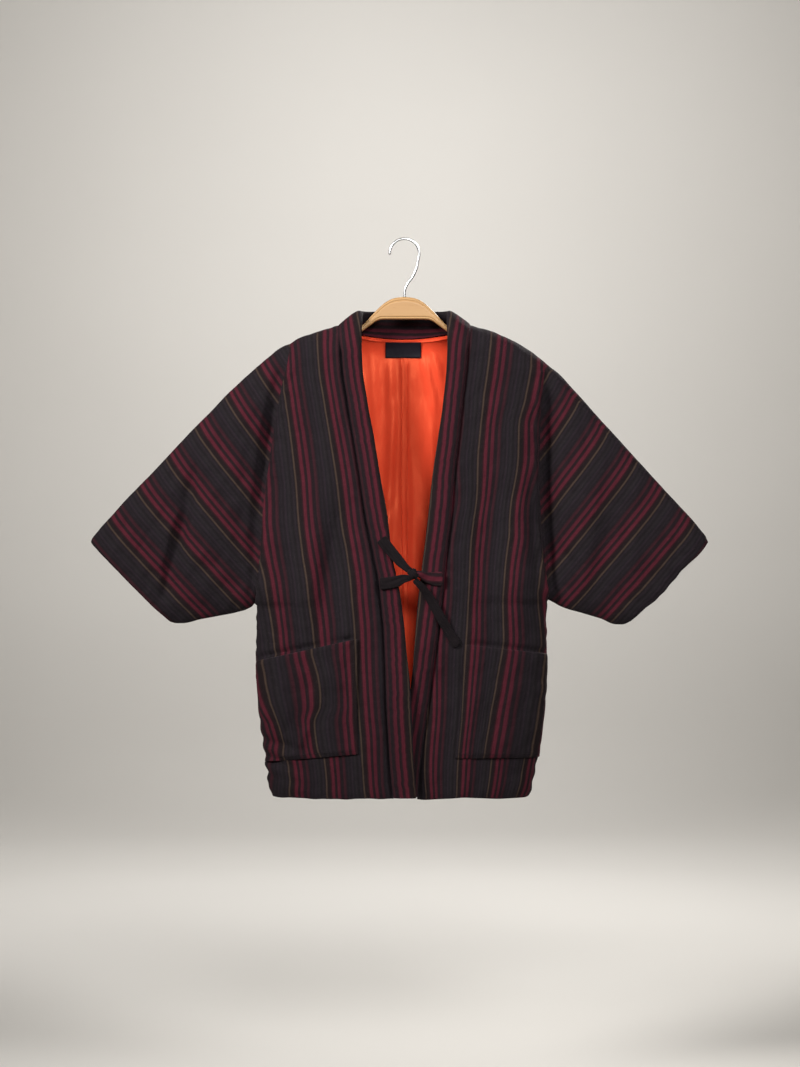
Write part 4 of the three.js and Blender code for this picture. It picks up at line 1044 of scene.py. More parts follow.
def body_cloth(side):
    piece = bodies[side]
    points, normals = piece.points, piece.normals
    seed = SEEDS["body"][side]
    across, along = piece.run(1), piece.run(0)
    from_side, from_collar = across, across[:, -1:] - across
    from_hem = np.minimum(along, along[-1:] - along)
    x, z = points[..., 0], points[..., 2]
    on_front = np.arange(len(points))[:, None] <= TOP_ROW
    crease = folds_round(CREASES, on_front, x, z)
    wadding = uneven(seed, along, across, (75, 0.9), (26, 0.4))
    free = clear_of(from_side, 7) * clear_of(from_collar, 7)
    rise = (crease + wadding) * free
    shoulder = np.exp(-((np.arange(len(points))[:, None] - TOP_ROW) / 9) ** 2)
    rise += seam_puckers(from_side, along, seed + 2, 1.7) * (1 - 0.9 * shoulder)
    rise += seam_puckers(from_collar, along, seed + 3, 0.9, reach=12)
    rise += seam_puckers(from_hem, across, seed + 4, 0.9, reach=14, size=24)
    rise -= seam_dip(from_side, 3.0) * (1 - 0.95 * shoulder)
    rise -= seam_dip(from_collar, 8.5, 4.0) * np.clip(1 - 2 * np.abs(normals[..., 2]), 0, 1)
    rise -= seam_dip(from_hem, 1.6, 6)
    armhole = (np.abs(np.arange(len(points))[:, None] - TOP_ROW) < TOP_ROW - UNDERARM_ROW) & (z < -210)
    rise += np.where(armhole, 3.2 * close_to(from_side - 9, 8), 0)
    rise += side_gathers(side, z, from_side, on_front)
    rise -= np.where(on_front, mouth_groove(side, z, from_side / (from_side + from_collar)), 0)
    wall = piece.depth - seam_dip(from_hem, 1.6, 6)
    outer = points + normals * np.maximum(rise, LEAST_WALL - wall)[..., None]
    inner = points - normals * wall[..., None]
    for _ in range(6):
        inner[:, 1:-1] = inner[:, 1:-1] * 0.5 + (inner[:, :-2] + inner[:, 2:]) * 0.25
    inner = kept_apart(outer, inner, normals)
    sway = uneven(seed + 5, x, x * 0, (85, 1.5), (34, 0.7)) * close_to(from_hem, 28)
    for face in (outer, inner):
        face[..., 2] += sway
        for column, inside in ((0, 1), (-1, -2)):
            face[:, column] += unit(points[:, inside] - points[:, column]) * SEAM_GAP / 2
        face[:UNDERARM_ROW + 1, 0, 1] -= SEAM_GAP / 2
        face[LAST_ROW - UNDERARM_ROW:, 0, 1] += SEAM_GAP / 2
    front_u = front_stripes(side, x, z, tan_lines[side])
    reference = mix(np.abs(seam_x[side](z)), BACK_STRIPE_X, smooth((shoulder_z(x) - z) / 60))
    out = np.abs(x) - reference
    back_u = (out - tan_lines[side][0](-150)) / BACK_REPEAT * STRIPE_REPEAT * -SIGN[side]
    u = np.where(on_front, front_u, back_u)
    made = wall_object(f"body_{side}_cloth", outer, inner, np.stack([u, along], -1), [STRIPED, SATIN],
                       ends=(EDGE_BULGE, EDGE_BULGE))
    return made, inner


def sleeve_cloth(side):
    piece = sleeves[side]
    points, normals = piece.points, piece.normals
    seed = SEEDS["sleeve"][side]
    around, along = piece.run(1), piece.run(0)
    from_cuff = along[-1:] - along
    girth = around[:, -1:] + np.linalg.norm(points[:, :1] - points[:, -1:], axis=-1)
    from_under = np.minimum(around, girth - around)
    x, z = points[..., 0], points[..., 2]
    half = TOP_ROW - UNDERARM_ROW
    on_front = np.arange(points.shape[1])[None] <= half
    crease = folds_round(CREASES, on_front, x, z)
    crease = crease * clear_of(from_under, 9)
    to_top = np.abs(np.arange(points.shape[1]) - half)[None] / half
    crease = crease * clear_of(to_top, 0.03)
    wadding = uneven(seed, along, around, (80, 1.0), (27, 0.4))
    wadding = wadding * clear_of(from_under, 12) * (1 - 0.7 * close_to(to_top, 0.12))
    rise = (crease + wadding) * clear_of(along, 7)
    shoulder = close_to(to_top, 0.14)
    rise += seam_puckers(along, around, seed + 2, 1.6, reach=16) * (1 - 0.9 * shoulder)
    rise += seam_puckers(from_cuff, around, seed + 3, 0.9, reach=14, size=26)
    rise += seam_puckers(from_under, along, seed + 4, 0.7, reach=8, size=17)
    ups = np.concatenate([armhole_ups, armhole_ups[-2:0:-1]])
    front_valley, back_valley = (table_curve(VALLEYS[side][layer])(ups) for layer in ("front", "back"))
    valley = np.where(on_front[0], front_valley, back_valley)
    valley = valley[None] * close_to(along - 10, 13) * clear_of(along, 3.5)
    rise -= valley
    cuff_dip = seam_dip(from_cuff, 1.6, 6)
    rise -= seam_dip(along, 3.0) * (1 - 0.95 * shoulder) + cuff_dip + seam_dip(from_under, 1.0, 3)
    wall = piece.depth - cuff_dip + valley
    outer = points + normals * np.maximum(rise, LEAST_WALL - wall)[..., None]
    inner = points - normals * wall[..., None]
    for _ in range(6):
        inner[1:-1] = inner[1:-1] * 0.6 + (np.roll(inner, 1, 1) + np.roll(inner, -1, 1))[1:-1] * 0.2
    inner = kept_apart(outer, inner, normals)
    sway = uneven(seed + 5, x + z, x * 0, (80, 1.3), (30, 0.8)) * close_to(from_cuff, 25)
    outward = unit(points[-1] - points[-2])
    for face in (outer, inner):
        face += outward[None] * sway[..., None]
        face[0] += unit(points[1] - points[0]) * SEAM_GAP / 2
    u = sleeve_stripes(side, x, z)
    u = np.concatenate([u, u[:, :1]], 1)
    v = np.concatenate([around, girth], 1)
    return wall_object(f"sleeve_{side}_cloth", outer, inner, np.stack([u, v], -1), [STRIPED, SATIN],
                       ring=True, ends=(0, EDGE_BULGE))


body_objects, body_inner = {}, {}
for side in SIDES:
    body_objects[side], body_inner[side] = body_cloth(side)
sleeve_objects = {side: sleeve_cloth(side) for side in SIDES}

# Collar: one stuffed band from the right front's hem round the neck to the left front's hem
# (part of the width from the seam, height in the band's thickness)
BAND_SECTION = [
    (0, -5.6), (0.012, -4.2), (0.04, -2.2), (0.085, -0.4), (0.15, 0.8), (0.25, 1.5), (0.38, 1.7),
    (0.5, 1.6), (0.62, 1.5), (0.72, 1.1), (0.82, 0.7), (0.89, 0.1), (0.945, -0.9), (0.98, -2.2), (1, -4),
    (1, -6), (0.98, -7.9), (0.94, -9.2), (0.88, -10.1), (0.78, -10.6), (0.65, -10.7), (0.5, -10.7),
    (0.35, -10.6), (0.2, -10.4), (0.08, -10), (0, -9.4), (0, -7.5),
]
BAND_STRIPES_START = -39.1


def collar_stations():
    stations = []
    for side in SIDES:
        points = bodies[side].points
        line = []
        for i in range(NECK_END + 1):
            seam = points[i, -1]
            if i <= TOP_ROW:
                rise = float(smooth((seam[2] + 200) / 63))
                x = float(free_x[side](seam[2]))
                level = front_point(side, x, min(seam[2], -200))[1]
                free = (x, mix(level, seam[1], rise), seam[2] + (NECK_FREE_Z + 137) * rise)
            else:
                turn = math.pi / 2 * (CAD_TOP - row_places[LAST_ROW - i]) / NECK_ROWS
                free = (SIGN[side] * NECK_FREE_X * math.cos(turn), (NECK_BACK_Y + 2) * math.sin(turn),
                        NECK_FREE_Z + math.sin(turn))
            line.append((seam, np.array(free)))
        if side == "left":
            line = line[-2::-1]
        stations += line
    return np.array([s for s, _ in stations]), np.array([f for _, f in stations])


def collar_cloth():
    seam, free = collar_stations()
    width = free - seam
    reach = np.linalg.norm(width, axis=1, keepdims=True)
    path = np.gradient(seam, axis=0)
    out = unit(np.cross(width, path))
    along = run_along(seam)
    stuffing, gathers = soft_noise(121, 60), soft_noise(122, 17)
    turned = smooth((seam[:, 2:] + 190) / 40)
    base = BAND_GAP - 3.5 * turned
    sections = []
    for across, height in BAND_SECTION:
        lift = height + COLLAR_PROUD * (1 if height > -5.8 and across < 0.99 else 0.6)
        if height > -5.8 and across < 0.3:
            lift = lift + 5 * turned[:, 0] * math.exp(-across * 14)
        edge = min(across, 1 - across)
        wave = 0.5 * stuffing(along, across * 35) * min(1, edge * 6)
        gathered = 0.75 * gathers(along, across * 12) * math.exp(-across * 5)
        wave = wave + gathered * (1 if height > -2 else 0.4)
        lift = lift + np.where(height > -5, wave, -wave * 0.6)
        line = seam + unit(width) * base + width * (across * (1 - base / reach))
        sections.append(line + out * np.asarray(lift).reshape(-1, 1))
    sections = np.array(sections).transpose(1, 0, 2)
    steps = np.linalg.norm(np.diff(np.concatenate([sections, sections[:, :1]], 1), axis=1), axis=-1)
    u = np.concatenate([np.zeros((len(steps), 1)), np.cumsum(steps, axis=1)], 1) + BAND_STRIPES_START
    v = np.repeat(along[:, None], u.shape[1], 1)
    return loft_object("collar_cloth", sections, STRIPED, np.stack([u, v], -1), ROUND_EDGE)


collar_object = collar_cloth()

# Lining of the back: its folds are written as above
LINING_CLEAR = 0.5
LINING_THICK = 1.2
DRAPES = [
    (-23, -186, -22, -262, 7, 2.6), (-18, -262, -25, -420, 7, 3.4), (-27, -410, -30, -640, 9, 2.8),
    (28, -160, 50, -274, 6, 3.6), (40, -166, 62, -232, 6, 3), (40, -268, 50, -420, 11, 3.2),
    (-54, -170, -44, -310, 9, 2.4), (6, -330, 8, -540, 5, 2), (-70, -220, -90, -480, 11, 3.2),
    (76, -230, 96, -520, 11, 3), (-8, -430, -12, -800, 8, 2.6), (36, -430, 32, -760, 11, 2.8),
    (-52, -330, -58, -520, 9, 2.4), (-110, -300, -130, -700, 16, 3), (120, -320, 140, -720, 16, 2.8),
    (-60, -520, -76, -840, 12, 2.4), (84, -560, 92, -850, 13, 2.2),
]


def lining_cloth(side):
    first = TOP_ROW + int(np.argmin(abs(row_places[::-1] - (CAD_TOP - 2))))
    left_out = int(np.argmin(abs(column_places - 1)))
    wall = body_inner[side][first:, left_out:]
    normals = bodies[side].normals[first:, left_out:]
    back = wall - normals * LINING_CLEAR
    x, z = back[..., 0], back[..., 2]
    piece = Cloth(back, turn=-SIGN[side])
    across, along = piece.run(1), piece.run(0)
    from_centre = across[:, -1:] - across
    rise = 1.6 * fold_height(DRAPES, x, z) + 0.9 * soft_noise(140, 44)(x, z * 0.25) + 0.5
    rise = np.maximum(0, rise + 0.2 * soft_noise(145, 16)(x, z * 0.5))
    rise = rise + 1.8 * close_to(from_centre - 5, 3)
    rise = rise * clear_of(from_centre, 3.4) * (1 - np.exp(-along / 12))
    rise = rise + seam_puckers(from_centre, along, 143, 0.7, reach=7, size=13) + 0.2
    rise = rise * (1 - 0.97 * np.exp(-((x + 2) / 36) ** 4 - ((z + 174) / 19) ** 4))
    front = back - piece.normals * (LINING_THICK + np.maximum(0, rise))[..., None]
    for face in (back, front):
        near = np.abs(face[:, -1, 0]) < 1.5
        face[near, -1, 0] = SIGN[side] * SEAM_GAP / 2
    made = wall_object(f"lining_{side}_cloth", back, front, np.stack([across, along], -1), [SATIN, SATIN],
                       steps=1)
    return made, front


lining_objects, lining_fronts = {}, {}
for side in SIDES:
    lining_objects[side], lining_fronts[side] = lining_cloth(side)

# Pockets: patches on the fronts; parts of the width run from the side seam to the collar's seam
POCKET_START = 0.018
POCKET_WIDE = 175
POCKET_TALL = 170
POCKET_THICK = 5
POCKET_CLEAR = 1.1
SEWN_IN = 5.2
# Creases on the pockets alone
POCKET_CREASES = {
    "right": [
        (-138, -712, -150, -790, 9, 3), (-150, -770, -180, -826, 9, 5),
        (-168, -752, -190, -822, 12, -7.5), (-178, -800, -186, -812, 10, -4),
        (-206, -706, -192, -760, 9, 1.8), (-158, -700, -166, -766, 12, -2.4),
        (-184, -690, -188, -742, 10, 2), (-112, -660, -104, -730, 12, 1.4),
        (-192, -796, -160, -812, 7, -1.8),
    ],
    "left": [
        (120, -670, 106, -780, 12, 1.6), (176, -676, 160, -790, 14, 1.8), (200, -690, 214, -706, 6, -1.4),
        (92, -700, 84, -800, 9, -1.4), (140, -790, 176, -806, 8, 1.1),
    ],
}


def close_ends(first, last, count):
    """Places from 0 to 1, count of them between first and last and closer ones beyond."""
    parts = [np.linspace(0, first, 5), np.linspace(first, last, count), np.linspace(last, 1, 5)]
    return np.unique(np.concatenate(parts))


def pocket_cloth(side):
    pocket = POCKETS[side]
    down, across = close_ends(0.06, 0.95, 34)[:, None], close_ends(0.04, 0.96, 44)[None]
    end = mix(*pocket["part"], down)
    part = mix(POCKET_START, end, across)
    top = mix(pocket["outer"][0], pocket["inner"][0], part / end)
    bottom = mix(pocket["outer"][1], pocket["inner"][1], part / end)
    z = mix(top, bottom, down)
    x = mix(side_x[side](z), seam_x[side](z), part)
    ground, normals = front_point(side, x, z), front_normal(side, x, z)
    seed = SEEDS["pocket"][side]
    wide, tall = POCKET_WIDE * across + 0 * down, POCKET_TALL * down + 0 * across
    from_edge = np.minimum(np.minimum(wide, POCKET_WIDE - wide), POCKET_TALL - tall)
    crease = fold_height(POCKET_CREASES[side], x, z) + 0.8 * fold_height(CREASES["front"], x, z)
    crease += uneven(seed, wide, tall, (60, 0.8), (22, 0.4))
    rise = crease * clear_of(from_edge, 9) * (0.35 + 0.65 * smooth(tall / 14))
    rise += seam_puckers(from_edge, wide + tall, seed + 2, 1.1, reach=11, size=16)
    rise -= seam_dip(from_edge, 2.6, 4) + seam_dip(tall, 0.8, 3)
    gape = 2.4 * np.exp(-tall / 16) * np.sin(math.pi * np.clip(wide / POCKET_WIDE, 0, 1)) ** 0.7
    outer = ground + normals * (POCKET_CLEAR + POCKET_THICK + np.maximum(rise, -4) + gape)[..., None]
    gather = side_gathers(side, z, part * np.abs(seam_x[side](z) - side_x[side](z)), True)
    outer = outer + normals * gather[..., None]
    sewn_in = SEWN_IN * close_to(wide, 7)
    inner = ground + normals * (POCKET_CLEAR - 0.9 + gape * 0.9 + gather - sewn_in)[..., None]
    lines = tan_lines[side][:1] + [table_curve(rows) for rows in POCKET_TAN[side]]
    u = front_stripes(side, x, z, lines)
    if side == "right":
        u = -u
    made = wall_object(f"pocket_{side}_cloth", outer, inner, np.stack([u, -z], -1), [STRIPED, STRIPED],
                       edges=0.9, ends=(1.4, 0.9))
    return made, outer, normals


pocket_objects, pocket_faces = {}, {}
for side in SIDES:
    pocket_objects[side], *pocket_faces[side] = pocket_cloth(side)

# Label, sewn to the lining below the back neck and left bare
LABEL = {"width": 57, "height": 24, "thick": 0.8, "x": -2, "z": -174}


def lining_face(x, z):
    """Distance of the lining's face behind the hanger's plane, from its nearest points."""
    cloud = np.concatenate([lining_fronts[side].reshape(-1, 3) for side in SIDES])
    cloud = cloud[(abs(cloud[:, 0] - LABEL["x"]) < 50) & (abs(cloud[:, 2] - LABEL["z"]) < 40)]
    away = np.hypot(cloud[None, :, 0] - x[:, None], cloud[None, :, 2] - z[:, None])
    weight = 1 / (away + 0.5) ** 4
    return (weight * cloud[None, :, 1]).sum(1) / weight.sum(1)


def label_piece():
    wide = np.linspace(-0.5, 0.5, 41)
    tall = np.linspace(0.5, -0.5, 19)
    x, z = np.meshgrid(LABEL["x"] + LABEL["width"] * wide, LABEL["z"] + LABEL["height"] * tall)
    depth = lining_face(x.ravel(), z.ravel())
    across, up = x.ravel() - LABEL["x"], z.ravel() - LABEL["z"]
    terms = np.stack([across * 0 + 1, across, up, across * across, up * up], -1)
    plane = terms @ np.linalg.lstsq(terms, depth, rcond=None)[0]
    depth = (plane + np.min(depth - plane)).reshape(x.shape)
    edge = np.minimum(LABEL["width"] / 2 - np.abs(x - LABEL["x"]),
                      LABEL["height"] / 2 - np.abs(z - LABEL["z"]))
    curl = 0.5 * (1 - np.exp(-edge / 3)) + 0.25 * soft_noise(201, 16)(x, z)
    back = np.stack([x, depth - 0.15, z], -1)
    front = np.stack([x, depth - LABEL["thick"] - curl - 0.1, z], -1)
    uv = np.stack([x, z], -1)
    made = wall_object("label_piece", front, back, uv, [LABEL_CLOTH, LABEL_CLOTH],
                       edges=0.3, ends=(0.3, 0.3), steps=1)
    return made, front


label_object, label_front = label_piece()

# Ties: (side, x, z, lift over the cloth, width) along each strip
KNOT = {"x": 13, "z": -534, "y": -76.5, "width": 17, "height": 17, "depth": 15}
TIE_THICK = 4
TIE_STRIPE = -12.5
TIE_STRIPE_SCALE = 0.78
TIES = {
    "tie_right": [
        ("right", -39, -549, 2.7, 19), ("right", -26, -548, 2.8, 19), ("right", -12, -545, 3.6, 18),
        ("right", -2, -541, 7, 14), ("right", 5, -540, 10.5, 10.5), ("right", 12, -538, 12, 9),
    ],
    "tie_left": [
        ("left", 60, -541, 2.8, 22), ("left", 48, -541, 3, 22), ("left", 36, -539, 5, 17),
        ("left", 25, -534, 9.5, 11), ("left", 17, -532.5, 11.5, 9),
    ],
    "tie_end_upper": [
        ("right", -37, -478, 2.7, 17), ("right", -30, -487, 2.8, 17.5), ("right", -19, -500, 3.2, 16.5),
        ("right", -7, -514, 6, 15), ("right", 3, -524, 10.5, 11), ("right", 11, -529.5, 12, 9),
    ],
    "tie_end_lower": [
        ("left", 15.5, -542.5, 13.5, 9), ("left", 25, -552, 11, 11), ("left", 37, -567, 5, 14),
        ("left", 47, -584, 3, 15), ("left", 58, -604, 2.8, 15), ("left", 70, -625, 2.8, 15),
        ("left", 84, -647, 2.8, 15),
    ],
}
STRAP_SECTION = [
    (-0.5, 0), (-0.492, 0.22), (-0.46, 0.4), (-0.4, 0.5), (-0.3, 0.54), (-0.2, 0.56), (-0.1, 0.57),
    (0, 0.57), (0.1, 0.57), (0.2, 0.56), (0.3, 0.54), (0.4, 0.5), (0.46, 0.4), (0.492, 0.22), (0.5, 0),
    (0.49, -0.25), (0.45, -0.42), (0.35, -0.5), (0.18, -0.5), (0, -0.5), (-0.18, -0.5), (-0.35, -0.5),
    (-0.45, -0.42), (-0.49, -0.25),
]


def tie_ground(side, x, z):
    on_band = x > seam_x[side](z) if side == "right" else x < seam_x[side](z) + 4
    return float(front_point(side, x, z)[1]) - (COLLAR_PROUD + COLLAR_PUFF if on_band else 0)


def smooth_path(points, steps):
    """Points along a curve through the given ones, and their part of the way in whole rows."""
    points = np.asarray(points, float)
    ends = np.concatenate([[2 * points[0] - points[1]], points, [2 * points[-1] - points[-2]]])
    gaps = np.sqrt(np.linalg.norm(np.diff(ends, axis=0), axis=1))
    knots = np.concatenate([[0], np.cumsum(gaps)])
    rows = np.linspace(0, len(points) - 1, steps + 1)
    made = []
    for row in rows:
        i = min(int(row), len(points) - 2)
        t = mix(knots[i + 1], knots[i + 2], row - i)
        p, k = ends[i:i + 4], knots[i:i + 4]
        a = [mix(p[n], p[n + 1], (t - k[n]) / (k[n + 1] - k[n])) for n in range(3)]
        b = [mix(a[n], a[n + 1], (t - k[n]) / (k[n + 2] - k[n])) for n in range(2)]
        made.append(mix(b[0], b[1], (t - k[1]) / (k[2] - k[1])))
    return np.array(made), rows


def tie_strip(name, rows, steps=64):
    striped = name == "tie_left"
    points = [(x, tie_ground(side, x, z) - lift, z) for side, x, z, lift, _ in rows]
    path, places = smooth_path(points, steps)
    width = np.interp(places, range(len(rows)), [row[4] for row in rows])
    tangent = unit(np.gradient(path, axis=0))
    wide = unit(np.cross(np.array([0, -1.0, 0]), tangent))
    out = unit(np.cross(tangent, wide))
    run = run_along(path)
    away = np.minimum(np.linalg.norm(path - [KNOT["x"], KNOT["y"], KNOT["z"]], axis=1), 60)
    seed = 220 + len(name)
    pleats = soft_noise(seed, 7)
    ripples = soft_noise(seed + 1, 14)
    sections = []
    for across, height in STRAP_SECTION:
        pinch = np.exp(-away / 18)
        fold = pleats(across * width * 1.1, run * 0.12) * (0.9 + 1.0 * pinch)
        fold = fold + 0.35 * ripples(across * 14, run)
        lift = height * TIE_THICK + (fold * (0.9 if height > 0 else 0.25)) * (1 - abs(2 * across) ** 4)
        sections.append(path + wide * (across * width)[:, None] + out * lift[:, None])
    sections = np.array(sections).transpose(1, 0, 2)
    fade = np.clip(np.minimum(run, run[-1] - run) / 1.6, 0, 1)
    centre = sections.mean(1, keepdims=True)
    sections = centre + (sections - centre) * (0.72 + 0.28 * np.sqrt(fade))[:, None, None]
    u = np.array([a for a, _ in STRAP_SECTION] + [STRAP_SECTION[0][0]])[None] * width[:, None]
    v = np.repeat(run[:, None], u.shape[1], 1)
    if striped:
        u = u * TIE_STRIPE_SCALE + TIE_STRIPE
    material = STRIPED if striped else DARK
    return loft_object(f"{name}_strip", sections, material, np.stack([u, v], -1), ROUND_EDGE)


tie_objects = {name: tie_strip(name, rows) for name, rows in TIES.items()}


def even_places(first, last, around, length, rows):
    """Texture places spread evenly round and along a skin."""
    return np.stack(np.meshgrid(np.linspace(first, last, around + 1), np.linspace(0, length, rows)), -1)


def knot_piece():
    """The knot: a core and two flat turns that cross over its front."""
    rings = 30
    around = 40
    turn = np.linspace(0.04, 0.96, rings)[:, None] * math.pi
    angle = np.linspace(0, 2 * math.pi, around, endpoint=False)[None]
    core = np.stack([
        KNOT["x"] + KNOT["width"] / 2 * 0.86 * np.sin(turn) * np.cos(angle),
        KNOT["y"] + KNOT["depth"] / 2 * 0.8 * np.sin(turn) * np.sin(angle),
        KNOT["z"] + KNOT["height"] / 2 * 0.92 * np.cos(turn) + 0 * angle,
    ], -1)
    centre = np.array([KNOT["x"], KNOT["y"], KNOT["z"]])
    bumps = soft_noise(231, 6)
    core = centre + (core - centre) * (1 + 0.05 * bumps(core[..., 0], core[..., 2]))[..., None]
    uv = even_places(0, 40, around, 24, rings)
    pieces = [loft_object("knot_core", core, DARK, uv)]
    for number, (lean, shift, girth) in enumerate(((62, 1.5, 8.5), (-28, -2.0, 7.0))):
        lean = math.radians(lean)
        axis = np.array([math.cos(lean), 0, math.sin(lean)])
        side_way = np.array([-math.sin(lean), 0, math.cos(lean)])
        steps, cross = 48, 14
        band = []
        for s in np.linspace(-0.62, 0.62, steps) * math.pi:
            radius_x = KNOT["height"] / 2 * 0.92
            middle = centre + axis * (shift * 0.6) + side_way * radius_x * math.sin(s)
            middle = middle + np.array([0, -1, 0]) * (KNOT["depth"] / 2 * 0.84) * math.cos(s)
            out = unit(side_way * math.sin(s) + np.array([0, -1.0, 0]) * math.cos(s))
            ring = []
            for a in np.linspace(0, 2 * math.pi, cross, endpoint=False):
                flat = np.sign(math.cos(a)) * abs(math.cos(a)) ** 0.7 * girth / 2
                thick = np.sign(math.sin(a)) * abs(math.sin(a)) ** 0.8 * 1.5
                crease = 0.35 * math.sin(3.2 * flat + s * 1.7 + number) if math.sin(a) > 0 else 0
                ring.append(middle + axis * flat + out * (thick + crease))
            band.append(ring)
        uv = even_places(-girth, girth, cross, 34, steps)
        pieces.append(loft_object(f"knot_turn_{number}", band, DARK, uv, ROUND_EDGE))
    return join_objects("knot_wound", pieces)


def join_objects(name, pieces):
    with bpy.context.temp_override(active_object=pieces[0], selected_editable_objects=pieces):
        bpy.ops.object.join()
    pieces[0].name = name
    return pieces[0]


knot_object = knot_piece()

# Hanger: (x, top, bottom) from the middle to each arm's end, seen from the front
HANGER_THICK = 12
# Front and back faces near an edge: (part of half the thickness, distance in from the edge)
HANGER_BEAD = [
    (1, 9.4), (1, 7.4), (0.97, 6.7), (0.8, 5.9), (0.8, 5.2), (0.93, 4.4), (0.93, 3.5), (0.86, 2.4),
    (0.72, 1.3), (0.5, 0.4), (0.25, 0.06), (0, 0),
]
HANGER_EDGES = [
    (0, -91, -127.5), (12, -92.4, -127.5), (20, -94.4, -127.5), (28, -98.4, -127.5), (36, -104.2, -127.8),
    (44, -111.8, -129.8), (52, -120.2, -135), (60, -129, -140.5), (66, -135, -145), (78, -141.8, -152.5),
    (92, -145.2, -157.5), (108, -148.1, -162.5), (120, -151.2, -166.5), (132, -154.7, -170.5),
    (148, -160.4, -177), (164, -167.1, -184), (180, -176.4, -192), (194, -185.2, -199),
    (200, -190.5, -197.5),
]


def hanger_piece():
    top, bottom = table_curve(HANGER_EDGES), table_curve(HANGER_EDGES, to=2)
    reach = HANGER_EDGES[-1][0]
    places = np.sin(np.linspace(-1, 1, 181) * math.pi / 2) * 0.35 + np.linspace(-1, 1, 181) * 0.65
    sections = []
    for x in places * reach:
        high, low = float(top(abs(x))), float(bottom(abs(x)))
        end = min(1.0, (reach - abs(x)) / 5)
        thick = HANGER_THICK * (0.72 + 0.28 * math.sqrt(max(0.0, end)))
        tall = (high - low) / 18.4
        corner = [(part * thick / 2, inset * min(1.0, tall)) for part, inset in HANGER_BEAD]
        low_corner = [(y, inset * 0.72) for y, inset in corner]
        ring = [(x, -y, high - inset) for y, inset in corner]
        ring += [(x, y, high - inset) for y, inset in corner[-2::-1]]
        ring += [(x, y, low + inset) for y, inset in low_corner]
        ring += [(x, -y, low + inset) for y, inset in low_corner[-2::-1]]
        sections.append(ring)
    return loft_object("hanger_wood", sections, WOOD, sharp=60)


hanger_object = hanger_piece()

WIRE = 4
HOOK_RADIUS = 23.6


def hook_piece():
    points = []
    for degrees in range(185, -21, -12):
        a = math.radians(degrees)
        points.append((HOOK_RADIUS * math.cos(a), 0, WIRE / 2 - HOOK_RADIUS + HOOK_RADIUS * math.sin(a)))
    points += [(x, 0, z) for x, z in ((19, -46), (13, -59), (5, -70), (0.6, -80), (0, -90), (0, -111))]
    path, _ = smooth_path(points, 230)
    tangent = unit(np.gradient(path, axis=0))
    side_way = unit(np.cross(np.array([0, 1.0, 0]), tangent))
    angles = np.linspace(0, 2 * math.pi, 20, endpoint=False)
    run = run_along(path)
    radius = WIRE / 2 * np.sqrt(np.clip(1 - (1 - np.clip(run / 2, 0, 1)) ** 2, 0.02, 1))
    turned = angles[None, :, None]
    ring = side_way[:, None] * np.cos(turned) + np.array([0, 1.0, 0]) * np.sin(turned)
    sections = path[:, None] + ring * radius[:, None, None]
    return loft_object("hook_wire", sections, STEEL, sharp=ROUND_EDGE)


hook_object = hook_piece()


# Stitches: one short thread on each point, laid along its heading
def stitch_tree():
    tree = bpy.data.node_groups.new("stitch rows", "GeometryNodeTree")
    inputs = [("Geometry", "NodeSocketGeometry", None), ("Length", "NodeSocketFloat", 0.003),
              ("Thickness", "NodeSocketFloat", 0.0006), ("Seed", "NodeSocketInt", 5),
              ("Material", "NodeSocketMaterial", None)]
    for label, kind, value in inputs:
        socket = tree.interface.new_socket(label, in_out="INPUT", socket_type=kind)
        if value is not None:
            socket.default_value = value
    tree.interface.new_socket("Geometry", in_out="OUTPUT", socket_type="NodeSocketGeometry")
    nodes = tree.nodes
    into, out = nodes.new("NodeGroupInput"), nodes.new("NodeGroupOutput")
    thread = nodes.new("GeometryNodeMeshIcoSphere")
    thread.inputs["Radius"].default_value = 0.5
    thread.inputs["Subdivisions"].default_value = 2
    aligned = None
    for attribute, axis, pivot in (("heading", "X", "AUTO"), ("facing", "Z", "X")):
        named = nodes.new("GeometryNodeInputNamedAttribute")
        named.data_type = "FLOAT_VECTOR"
        named.inputs["Name"].default_value = attribute
        align = nodes.new("FunctionNodeAlignRotationToVector")
        align.axis, align.pivot_axis = axis, pivot
        if aligned is not None:
            link(tree, aligned, align.inputs["Rotation"])
        link(tree, named.outputs["Attribute"], align.inputs["Vector"])
        aligned = align.outputs["Rotation"]
    uneven = nodes.new("FunctionNodeRandomValue")
    uneven.data_type = "FLOAT"
    uneven.inputs[2].default_value, uneven.inputs[3].default_value = 0.8, 1.12
    link(tree, into.outputs["Seed"], uneven.inputs["Seed"])
    long = math_node(tree, "MULTIPLY", into.outputs["Length"], uneven.outputs[1])
    size = nodes.new("ShaderNodeCombineXYZ")
    link(tree, long, size.inputs[0])
    link(tree, into.outputs["Thickness"], size.inputs[1])
    link(tree, into.outputs["Thickness"], size.inputs[2])
    spread = nodes.new("GeometryNodeInstanceOnPoints")
    link(tree, into.outputs["Geometry"], spread.inputs["Points"])
    link(tree, thread.outputs["Mesh"], spread.inputs["Instance"])
    link(tree, aligned, spread.inputs["Rotation"])
    link(tree, size.outputs[0], spread.inputs["Scale"])
    realize, paint = nodes.new("GeometryNodeRealizeInstances"), nodes.new("GeometryNodeSetMaterial")
    link(tree, spread.outputs["Instances"], realize.inputs[0])
    link(tree, realize.outputs[0], paint.inputs["Geometry"])
    link(tree, into.outputs["Material"], paint.inputs["Material"])
    link(tree, paint.outputs["Geometry"], out.inputs["Geometry"])
    return tree


STITCHES = stitch_tree()


